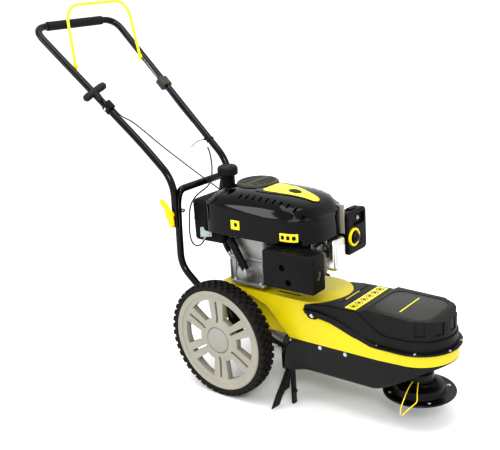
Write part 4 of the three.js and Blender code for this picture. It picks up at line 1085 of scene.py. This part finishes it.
def cowl_shell(outward, inward, name="cowl_layer"):
    """The cowl's skin, from a distance outside its surface to a distance inside it."""
    dome = [(0.10, -0.4), (0.20, -0.3), (0.30, 0), (0.40, 1), (0.50, 2.5), (0.60, 5.2), (0.68, 8.6),
            (0.75, 12.4), (0.81, 16.8), (0.86, 22), (0.90, 27.8)]
    brow = COWL_CROWN - dome[-1][1]
    sides = 144
    verts, faces = [Vector((*cowl_plan(0, 0), COWL_CROWN + 0.4))], []
    rings = 0

    def ring(r, height):
        nonlocal rings
        for k in range(sides):
            x, y = cowl_plan(r, 2 * math.pi * k / sides)
            verts.append((x, y, height(x)))
        rings += 1

    for r, drop in dome:
        ring(r, lambda x, drop=drop: COWL_CROWN - drop)
    for r, share in ((0.925, 0.80), (0.945, 0.55), (0.962, 0.34), (0.980, 0.16), (0.992, 0.06)):
        ring(r, lambda x, share=share: cowl_crease(x) + (brow - cowl_crease(x)) * share)
    for drop in (-0.4, 1.2, 4.0):
        ring(1.0 - 0.002 * (drop > 1), lambda x, drop=drop: cowl_crease(x) - drop)
    for share in (0.25, 0.5, 0.75, 0.93, 1.0):
        r = 0.990 + 0.010 * share
        ring(r, lambda x, share=share: cowl_crease(x) - 4 + (COWL_BOTTOM + 4 - cowl_crease(x)) * share)
    for k in range(sides):
        faces.append([0, 1 + k, 1 + (k + 1) % sides])
    for i in range(rings - 1):
        a, b = 1 + i * sides, 1 + (i + 1) * sides
        faces += [[a + k, b + k, b + (k + 1) % sides, a + (k + 1) % sides] for k in range(sides)]
    shell = build(name, verts, faces)
    work = bmesh.new()
    work.from_mesh(shell.data)
    work.normal_update()
    if max(work.faces, key=lambda f: f.calc_center_median().z).normal.z < 0:
        bmesh.ops.reverse_faces(work, faces=work.faces)
    work.to_mesh(shell.data)
    work.free()
    total = outward + inward
    step = shell.modifiers.new("wall", "SOLIDIFY")
    step.thickness, step.offset = total * MM, (outward - inward) / total
    apply(shell)
    return smooth(shell, 34)


def teardrop(rear, front, half, grow=0.0):
    """The raised shield on the cowl: wide behind, narrowing to a round tip in front."""
    tip = 17 + grow
    out = arc((front - tip, COWL_CENTRE.y), tip, -72, 72, 16)
    out += [(rear + 60, COWL_CENTRE.y + half * 0.93 + grow), (rear + 22, COWL_CENTRE.y + half + grow)]
    out += arc((rear + 6 - grow, COWL_CENTRE.y + half - 12), 12 + grow, 90, 180, 6)
    out += [(x, 2 * COWL_CENTRE.y - y) for x, y in reversed(out[17:])]
    return out


def make_cowl():
    cowl = cowl_shell(0, 3.4, "moulded_cowl")
    shield = common(prism("shield", teardrop(76, 256, 50, 5), 560, 640), cowl_shell(1.5, 0.5))
    shield = soften(shield, 0.8, 3, 40)
    cowl = join(cowl, shield)
    cutters = []
    for i in range(VENTS):
        x = VENT_START + i * VENT_PITCH
        for y in VENT_ROWS:
            cutters.append(prism("vent", rounded(x - 3, x + 3, y, y + 19, 2.9, 5), 560, 640))
    cutters.append(prism("rope_way", rounded(-30, 2, -88, -56, 12), 560, 640))
    cutters.append(turned("grille_way", [(0, 600), (64.2, 600), (64.2, 640), (0, 640)], 96, GRILLE_SPOT))
    cowl = cut(cowl, *cutters)
    smooth(cowl, 34)
    finish(cowl, GLOSS_BLACK, "engine_cowl")

    cup = cut(prism("rope_cup", rounded(-32, 4, -90, -54, 13), 568, 590),
              prism("hollow", rounded(-30, 2, -88, -56, 12), 571, 600))
    finish(soften(cup, 0.8), DARK_MOULDING)
    bush = turned("rope_bush", [(2.4, 0), (6, 0), (6.6, 2), (6, 5), (3.6, 6), (2.4, 5)], 32,
                  (-80, -29.5, 584), (-0.70, -0.30, 0.62))
    finish(smooth(bush), BLACK_MOULDING)
    make_cowl_labels()
    make_grille()


def make_cowl_labels():
    label = common(prism("label", teardrop(88, 250, 42), 560, 640), cowl_shell(2.1, -1.0))
    gap = prism("gap", [(131, -90), (134, -90), (134, 90), (131, 90)], 560, 640)
    label.name = "shield_label"
    finish(smooth(cut(label, gap), 34), YELLOW_LABEL)
    oval = [(171 + 20 * math.cos(a), COWL_CENTRE.y + 15 * math.sin(a))
            for a in (2 * math.pi * i / 48 for i in range(48))]
    badge = common(prism("oval_badge", oval, 560, 640), cowl_shell(2.8, -1.8))
    finish(smooth(badge, 34), LABEL_INK, slot="gloss_black")
    plates = [common(prism("plate", outline, -150, -90, "y"), cowl_shell(0.7, 0.4))
              for outline in (rounded(22, 54, 508, 536, 2), rounded(196, 250, 497, 521, 2))]
    finish(smooth(merge("skirt_labels", *plates), 34), YELLOW_LABEL)
    marks = [rounded(x, x + 10, 503, 515, 4.5, 5) for x in (201, 218, 235)]
    marks.append(rounded(34, 46, 517, 529, 5.5))
    made = [common(prism("mark", outline, -150, -90, "y"), cowl_shell(1.0, -0.3)) for outline in marks]
    finish(merge("skirt_marks", *made), LABEL_INK)


GRILLE_SPOT = (17, 22, 0)
GRILLE_RADIUS = 63.6


def make_grille():
    """The round screen over the fan: a domed olive disc with long slots to each side of a rib."""
    x, y, _ = GRILLE_SPOT
    top = 620
    disc = turned("fan_screen", [(0, top - 6), (52, top - 7), (GRILLE_RADIUS, top - 12),
                  (GRILLE_RADIUS, top - 7), (GRILLE_RADIUS - 2, top - 3), (GRILLE_RADIUS - 8, top),
                  (0, top + 1.5)], 96, (x, y, 0))
    slots = []
    for i in range(-3, 4):
        middle, reach = y + i * 14.5, (54 ** 2 - (i * 14.5) ** 2) ** 0.5
        for x0, x1 in ((x - reach, x - 5), (x + 5, x + reach)):
            slots.append(prism("slot", rounded(x0, x1, middle - 4.3, middle + 4.3, 4.2, 5), 590, 640))
    disc = cut(disc, *slots)
    disc = soften(disc, 0.7, 2, 34)
    finish(disc, OLIVE_MOULDING, "starter_grille")
    fan = turned("fan", [(0, 590), (50, 590), (50, 594), (20, 596), (20, 602), (0, 602)], 64, (x, y, 0))
    blades = []
    for i in range(16):
        a = 2 * math.pi * i / 16
        c, s = math.cos(a), math.sin(a)
        outline = [(x + c * 24 - s * 1.2, y + s * 24 + c * 1.2), (x + c * 24 + s * 1.2, y + s * 24 - c * 1.2),
                   (x + c * 48 + s * 9, y + s * 48 - c * 9), (x + c * 48 + s * 6.6, y + s * 48 - c * 6.6)]
        blades.append(prism("blade", outline, 593, 604))
    finish(merge("cooling_fan", smooth(fan), *blades), BLACK_MOULDING)


# ---------------------------------------------------------------- engine


def cushion(name, x0, x1, y0, y1, z0, z1, radius, bevel, axis="z"):
    """A block with rounded corners in plan and softened edges, upright along an axis."""
    spans = {"z": ((x0, x1, y0, y1), z0, z1), "y": ((x0, x1, z0, z1), y0, y1),
             "x": ((y0, y1, z0, z1), x0, x1)}
    plan, low, high = spans[axis]
    return soften(prism(name, rounded(*plan, radius, 8), low, high, axis), bevel, 4, 40)


def make_crankcase():
    """The cast case in two halves, its ribs, bolts and gasket, and the crankshaft."""
    base = DECK_TOP + 0.3
    flange = soften(turned("flange", [(0, base), (84, base), (84, base + 9), (0, base + 9)], 96,
                           (CRANK_X, -2, 0)), 1.6)
    lower = cushion("lower", -38, 112, -84, 78, base + 8, 402, 26, 5)
    upper = cushion("upper", -35, 109, -81, 75, 404, 478, 24, 5)
    rim = cushion("rim", -38.5, 112.5, -84.5, 78.5, 396, 412, 26, 1.2)
    boss = soften(rod("boss", (50, -78, 366), (42, -116, 372), 21, 48), 3)
    near_foot = cushion("near_foot", -10, 112, -104, -60, 331, 341, 9, 1.6)
    parts = [flange, lower, upper, rim, boss, near_foot]
    for i in range(7):
        x = -22 + i * 20
        parts.append(soften(block("rib", x - 1.8, x + 1.8, -86.5, -70, base + 8, 396), 0.8, 2))
        parts.append(soften(block("rib", x - 1.8, x + 1.8, 70, 80.5, base + 8, 396), 0.8, 2))
    for y in (-54, -24, 6, 36, 60):
        parts.append(soften(block("rib", -41, -30, y - 1.8, y + 1.8, base + 8, 396), 0.8, 2))
    case = merge("cast_crankcase", *parts)
    finish(case, CAST_ALUMINIUM, "crankcase")
    gasket = cushion("case_gasket", -38.8, 112.8, -84.8, 78.8, 403.2, 404.6, 26, 0)
    finish(gasket, GASKET)
    spots = [(-30, -76), (36, -80), (104, -76), (-34, 0), (-30, 70), (36, 74), (104, 70)]
    heads = [bolt("case_bolt", (x, y, 412), (0, 0, 1), 4.6, 5) for x, y in spots]
    feet = [bolt("foot_bolt", (x, y, base + 9), (0, 0, 1), 5.5, 5) for x, y in arc((CRANK_X, -2), 76, 45,
                 315, 3)]
    feet += [bolt("foot_bolt", (x, -95, 341), (0, 0, 1), 5, 4.5) for x in (4, 98)]
    finish(merge("crankcase_bolts", *heads, *feet), ZINC)
    shaft = rod("turned_crankshaft", (CRANK_X, 0, 252), (CRANK_X, 0, 399), 10, 48, 1)
    finish(smooth(shaft), ZINC, "crankshaft", body="crank")


def make_cylinder():
    parts = [cushion("core", 112.4, 264, -40, 66, 388, 466, 12, 2, "x")]
    for i in range(12):
        x = 121 + i * 11.6
        parts.append(cushion("fin", x - 1.3, x + 1.3, -50, 76, 376, 478, 14, 0.5, "x"))
    finish(merge("finned_cylinder", *parts), CAST_ALUMINIUM, "cylinder")
    cover = cushion("rocker_cover", 266.5, 297, -6, 61, 382, 476, 14, 7, "x")
    seat = cushion("seat", 264.4, 268.5, -8, 63, 380, 478, 14, 0.8, "x")
    inset = cushion("inset", 296.2, 298, 8, 47, 398, 460, 8, 0.7, "x")
    cover = merge("rocker_cover_cast", cover, seat, inset)
    finish(cover, BRIGHT_ALUMINIUM, "valve_cover")
    heads = [bolt("rocker_bolt", (268, y, z), (1, 0, 0), 4.2, 4) for y, z in
             ((-3, 386), (58, 386), (-3, 472), (58, 472))]
    finish(merge("rocker_bolts", *heads), ZINC)

    start, way = Vector((266.5, -24.2, 440.3)), Vector((13.5, -1.8, 2.7)).normalized()
    boot = turned("plug_boot", [(0, 8), (9.4, 8), (10.4, 11), (9.6, 14), (10.8, 17), (10, 22), (9, 27),
                  (6, 30), (0, 31)], 48, start, way)
    plug = turned("plug_body", [(0, 0), (6.4, 0), (6.4, 9), (0, 9)], 6, start, way)
    lead = sweep("plug_lead", flowing([start + way * 24, start + way * 30 + Vector((0, -2, 8)),
                                       (292, -32, 468), (272, -34, 482), (250, -36, 490)], 8), 3.4, 16)
    piece = merge("plug_and_lead", smooth(boot), plug, smooth(lead, 60))
    finish(piece, SOFT_RUBBER, "spark_plug", slot="plug_boot")
    strip = soften(prism("intake_strip", rounded(60, 66.4, 478, 566, 3), 268, 292, "x"), 1, 3)
    finish(strip, RIM_MOULDING)


def make_oil_filler():
    bottom, top = Vector((52, -106, 381)), Vector((0, -98, 458))
    way = (top - bottom).normalized()
    tube = turned("filler_tube", [(9.4, 0), (11, 0), (11, 70), (12.4, 74), (12.4, 88), (11.4, 92.6),
                  (9.4, 92.6)], 48, bottom, way)
    brace = turned("collar", [(10.8, 18), (13.2, 18), (13.2, 26), (10.8, 26)], 48, bottom, way)
    finish(merge("oil_filler_tube", smooth(tube), smooth(brace)), BLACK_MOULDING, "oil_filler")
    base = top + way * 0.9
    profile = [(0, 0), (12.6, 0), (13, 1), (13, 7), (12, 9), (6, 9.6), (0, 9.6)]
    cap = turned("dipstick_cap", profile, 48, base, way)
    grip = aligned_prism("grip", rounded(-11, 11, -2.2, 2.2, 2), base + way * 8, base + way * 13, (0, 1, 0))
    stick = rod("stick", base - way * 21, base + way, 2.6, 16)
    finish(merge("dipstick_with_cap", smooth(cap), soften(grip, 0.9), stick), BLACK_MOULDING, "oil_cap",
           body="dipstick")


def make_exhaust():
    can = cushion("muffler_can", 192, 306, -152, -54, 388, 464, 14, 5, "y")
    finish(can, HEATED_STEEL, "muffler")
    outer = cushion("pressed_muffler_guard", 164, 336, -168, -108, 374, 482, 9, 6, "y")
    inner = block("inner", 167.5, 332.5, -164.5, -90, 377.5, 478.5)
    cutters = [inner, block("rear", 150, 350, -113, -100, 360, 494),
               rod("port", (324, -138, 424), (348, -138, 424), 13, 48)]
    wells = ((232, 438), (252, 398))
    for x, z in wells:
        cutters.append(rod("well", (x, -176, z), (x, -160, z), 9.5, 40))
    for i in range(5):
        cutters.append(prism("louvre", rounded(176 + i * 29, 197 + i * 29, -152, -147, 2.4, 4), 472, 494))
        cutters.append(prism("louvre", rounded(176 + i * 29, 197 + i * 29, -138, -133, 2.4, 4), 472, 494))
    guard = cut(outer, *cutters)
    smooth(guard, 30)
    finish(guard, BLACK_MOULDING, "muffler_guard")
    heads = [bolt("guard_head", (x, -155, z), (0, -1, 0), 5.4, 3.0, False) for x, z in wells]
    finish(merge("muffler_guard_bolts", *heads), BLACK_STEEL)
    pipe = turned("tail_pipe", [(8, 0), (10, 0), (10, 22), (8, 22)], 48, (304, -138, 424), (1, 0, 0))
    finish(smooth(pipe), HEATED_STEEL)


def make_air_filter():
    back = cushion("back", 266, 280, 65, 165, 412, 538, 11, 2, "x")
    front = cushion("front", 281.4, 303, 64, 166, 411, 539, 13, 5, "x")
    seal = cushion("seal", 279, 282.4, 67, 163, 414, 536, 10, 0.4, "x")
    pocket = rod("pocket", (294, 92, 463), (306, 92, 463), 15.6, 48)
    ribs = [soften(block("rib", 302, 304.4, 118, 158, z, z + 3), 0.8, 2) for z in (430, 440, 450)]
    clip = soften(block("clip", 274, 292, 100, 128, 537, 543), 1.4, 3)
    tray = prism("tray", rounded(92, 154, 494, 528, 7), 295, 306, "x")
    stud = bolt("stud", (295, 128, 511), (1, 0, 0), 4.2, 4)
    box = merge("air_box", back, cut(front, pocket, tray), seal, *ribs, clip)
    finish(stud, ZINC)
    finish(box, BLACK_MOULDING, "air_filter")
    ring = turned("primer_ring", [(20, 2), (20, 6), (21.4, 7.2), (25.6, 7.2), (27, 6), (27, 0), (20, 0)], 64,
                  (302.2, 92, 463), (1, 0, 0))
    finish(smooth(ring), YELLOW_MOULDING)
    bulb = turned("primer_dome", [(0, 0.3), (15, 0.3), (15.2, 6), (14.2, 10.5), (11.5, 14.4), (7, 16.6),
                  (0, 17.2)], 64, (303, 92, 463), (1, 0, 0))
    finish(smooth(bulb, 50), SOFT_RUBBER, "primer_bulb", body="primer")


def make_fuel_tank():
    x, y = FILLER.x, FILLER.y
    body = cushion("body", -166, -97, -84, 84, 436, 566, 18, 12)
    foot = cushion("foot", -132, -46, -82, 82, 436.5, 480, 14, 9)
    band = cushion("band", -167.2, -95.8, -85.2, 85.2, 503, 507, 19, 0.9)
    neck = turned("neck", [(17, 545), (23, 545), (23, 570), (21, 574), (21, 617.6), (17, 617.6)], 64, (x,
                  y, 0))
    tank = merge("blow_moulded_tank", body, foot, band, smooth(neck))
    finish(tank, BLACK_MOULDING, "fuel_tank")
    cap = turned("cap", [(0, 618.4), (29, 618.4), (30.4, 620), (30.4, 641), (28, 645.5), (23, 647.6),
                 (21, 646.6), (0, 646.6)], 72, (x, y, 0))
    ribs = [rod("rib", (u, v, 620.5), (u, v, 641), 1.5, 10, 0.6) for u, v in arc((x, y), 30.2, 0, 348, 29)]
    bar = soften(block("bar", x - 17, x + 17, y - 3, y + 3, 646, 648), 0.8, 2)
    stopper = rod("stopper", (x, y, 604), (x, y, 619), 15.5, 48, 1)
    piece = merge("ribbed_fuel_cap", smooth(cap), *ribs, bar, smooth(stopper))
    finish(piece, DARK_MOULDING, "fuel_cap", body="filler_cap")


def make_brake_bracket():
    plate = prism("plate", [(-112, 460), (-66, 468), (-66, 482), (-94, 484), (-97, 494), (-110, 492)],
                  -112, -109, "y")
    web = block("web", -98, -88, -112, -84.4, 470, 474)
    screw = bolt("screw", (-76, -112, 475), (0, -1, 0), 4.5, 4)
    ferrule = rod("ferrule", (-104, -105.5, 452), (-92, -106, 466), 3.6, 24, 0.8)
    piece = merge("brake_plate", soften(join(plate, web), 0.8), screw, smooth(ferrule))
    finish(piece, BRACKET_STEEL, "brake_bracket")


# ---------------------------------------------------------------- trimmer head and belt drive


def grooved_wheel(name, radius, centre):
    g = radius + 7
    profile = [(10.4, -9), (15, -9), (17, -7.4), (g - 9, -7.4), (g - 6, -9), (g, -9), (g, -6.8),
                (radius, -4.8), (radius, 4.8), (g, 6.8), (g, 9), (g - 6, 9), (g - 9, 7.4), (17, 7.4),
                (15, 9), (10.4, 9)]
    return soften(turned(name, profile, 72, centre), 0.5, 2)


def make_belt_drive():
    """Both pulleys, the belt about them and the idler."""
    engine = grooved_wheel("engine_sheave", 32, (CRANK_X, 0, BELT_Z))
    finish(engine, BLACK_STEEL, "engine_pulley", body="crank")
    driven = grooved_wheel("spindle_sheave", 40, (HEAD_X, 0, BELT_Z))
    finish(driven, BLACK_STEEL, "spindle_pulley", body="trimmer")

    def wrap(offset):
        r1, r2 = 32 + offset, 40 + offset
        lean = math.degrees(math.asin((r2 - r1) / (HEAD_X - CRANK_X)))
        return (arc((HEAD_X, 0), r2, -90 - lean, 90 + lean, 40)
                + arc((CRANK_X, 0), r1, 90 + lean, 270 - lean, 40))

    belt = cut(prism("v_belt", wrap(6.8), BELT_Z - 4.4, BELT_Z + 4.4),
               prism("in", wrap(0.6), BELT_Z - 9, BELT_Z + 9))
    finish(soften(belt, 0.8, 2, 50), SOFT_RUBBER, "drive_belt")
    spot = (220, -63.5, BELT_Z)
    idler = turned("idler_wheel", [(4.3, -8), (8, -8), (9, -6), (17, -6), (18, -8), (20, -8), (20, 8),
                   (18, 8), (17, 6), (9, 6), (8, 8), (4.3, 8)], 64, spot)
    finish(soften(idler, 0.4, 2), BLACK_STEEL, "idler_pulley", body="idler")
    shank = rod("shank", (220, -63.5, BELT_Z - 11), (220, -63.5, 316.6), 4, 24, 0.5)
    head = bolt("head", (220, -63.5, BELT_Z - 9.2), (0, 0, -1), 7.4, 4.6)
    finish(merge("idler_post", smooth(shank), head), ZINC, "idler_bolt")


def make_trimmer_head():
    """Spindle and housing, the dish under the nose and its two strands of line."""
    centre = (HEAD_X, 0, 0)
    housing = soften(turned("cast_spindle_housing", [(12, 158), (28, 158), (30, 161), (30, 220),
                     (34, 227), (46, 230), (46, 232.4), (12, 232.4)], 72, centre), 0.8, 2)
    ribs = []
    for i in range(6):
        a = math.radians(60 * i)
        c, s = math.cos(a), math.sin(a)
        base = [(29, 165), (29, 231), (44, 231), (42, 226), (32, 205)]
        near, far = [[(HEAD_X + c * r - s * w, s * r + c * w, z) for r, z in base] for w in (-2, 2)]
        ribs.append(soften(between("rib", near, far), 0.7, 2))
    finish(merge("ribbed_spindle_housing", housing, *ribs), CAST_ALUMINIUM, "spindle_housing")
    shaft = rod("turned_spindle", (HEAD_X, 0, 104.2), (HEAD_X, 0, 284), 10, 48, 1)
    finish(smooth(shaft), ZINC, "spindle_shaft", body="trimmer")
    holder = soften(turned("line_anchor", [(10.4, 112), (34, 112), (40, 118), (40, 142), (30, 150), (20, 155),
                                           (10.4, 155)], 72, centre), 1.2)
    finish(holder, BLACK_STEEL, "line_holder", body="trimmer")
    dish = turned("spun_dish", [(0, 68), (34, 68), (52, 69.2), (72, 71.6), (88, 75.4), (97, 79),
                  (101, 82), (101.4, 84), (100.2, 86), (96, 86), (88, 84.6), (78, 84.6), (73, 86),
                  (71, 90), (70, 99), (67.5, 104.5), (61, 107.4), (38, 107.8), (30, 103.8), (0, 103.8)],
                  128, centre)
    smooth(dish, 34)
    finish(dish, DISH_BLACK, "trimmer_dish", body="trimmer")
    heads = [bolt("dish_bolt", (x, y, 84.6), (0, 0, 1), 4.2, 3) for x, y in arc((HEAD_X, 0), 84, 45, 315, 3)]
    finish(merge("dish_bolts", *heads), ZINC, body="trimmer")

    def strand(phase, tip_shift):
        place = lambda r, z, a: (HEAD_X + r * math.cos(a), r * math.sin(a), z)
        a = -math.pi / 2 + phase
        return [place(42, 126, a), place(60, 122, a), place(80, 112, a), place(98, 98, a),
                place(107, 80, a + tip_shift * 0.5), place(108, 56.4, a + tip_shift)]

    for word, phase, shift in (("a", 0.04, -0.06), ("b", 0.40, -0.36)):
        line = smooth(sweep("line_strand_" + word, flowing(strand(phase, shift), 10), 1.7, 16), 60)
        finish(line, NYLON, "trimmer_line_" + word, body="trimmer")


# ---------------------------------------------------------------- camera, floor and light

CAMERA_SPOT = Vector((1545.1, -1892.8, 1231.1))
CAMERA_YAW, CAMERA_PITCH, CAMERA_ROLL = 129.35, 17.03, -3.866
LENS, SENSOR = 60.585, 36.0


def make_camera():
    data = bpy.data.cameras.new("photo_view")
    data.lens, data.sensor_width = LENS, SENSOR
    camera = bpy.data.objects.new("photo_view", data)
    yaw, pitch, roll = (math.radians(v) for v in (CAMERA_YAW, CAMERA_PITCH, CAMERA_ROLL))
    look = Vector((math.cos(yaw) * math.cos(pitch), math.sin(yaw) * math.cos(pitch), -math.sin(pitch)))
    right = look.cross(Vector((0, 0, 1))).normalized()
    up = right.cross(look)
    x = right * math.cos(roll) + up * math.sin(roll)
    y = -right * math.sin(roll) + up * math.cos(roll)
    camera.matrix_world = Matrix.Translation(put(CAMERA_SPOT)) @ Matrix((x, y, -look)).transposed().to_4x4()
    SCENE.objects.link(camera)
    bpy.context.scene.camera = camera


def make_floor():
    size = 70000
    corners = [(-size, -size, 0), (size, -size, 0), (size, size, 0), (-size, size, 0)]
    floor = build("floor", corners, [[0, 1, 2, 3]])
    paper = material("floor_paper", None, (0.86, 0.86, 0.86), 0.9, specular=0.1, grain=0.05, variation=0.01)
    floor.data.materials.append(paper)


def area_light(name, spot, target, width, height, power):
    data = bpy.data.lights.new(name, "AREA")
    data.shape, data.size, data.size_y = "RECTANGLE", width, height
    data.energy = power
    lamp = bpy.data.objects.new(name, data)
    spot, target = Vector(spot), Vector(target)
    lamp.matrix_world = (Matrix.Translation(spot)
                         @ (target - spot).to_track_quat("-Z", "Y").to_matrix().to_4x4())
    SCENE.objects.link(lamp)


def make_light():
    world = bpy.data.worlds.new("studio")
    world.use_nodes = True
    shade = world.node_tree.nodes["Background"]
    shade.inputs["Color"].default_value = (0.98, 0.99, 1.0, 1)
    shade.inputs["Strength"].default_value = 0.92
    bpy.context.scene.world = world
    view = bpy.context.scene.view_settings
    view.view_transform, view.look = "Standard", "High Contrast"
    middle = (0, 0, 0.45)
    area_light("overhead", (0.1, -0.4, 3.4), middle, 2.2, 2.2, 36)
    area_light("key", (2.4, -2.6, 2.6), middle, 0.9, 0.9, 42)
    area_light("side", (-2.2, -2.8, 1.8), middle, 0.8, 1.6, 18)


# ---------------------------------------------------------------- the object

make_camera()
make_floor()
make_light()
make_rope_and_cables()
make_wheels()
make_lower_frame()
make_upper_handle()
make_bail()
make_handle_fittings()
make_starter_handle()
make_clamps()
make_deck()
make_belt_cover()
make_guard()
make_legs_and_flaps()
make_cowl()
make_crankcase()
make_cylinder()
make_oil_filler()
make_exhaust()
make_air_filter()
make_fuel_tank()
make_brake_bracket()
make_belt_drive()
make_trimmer_head()
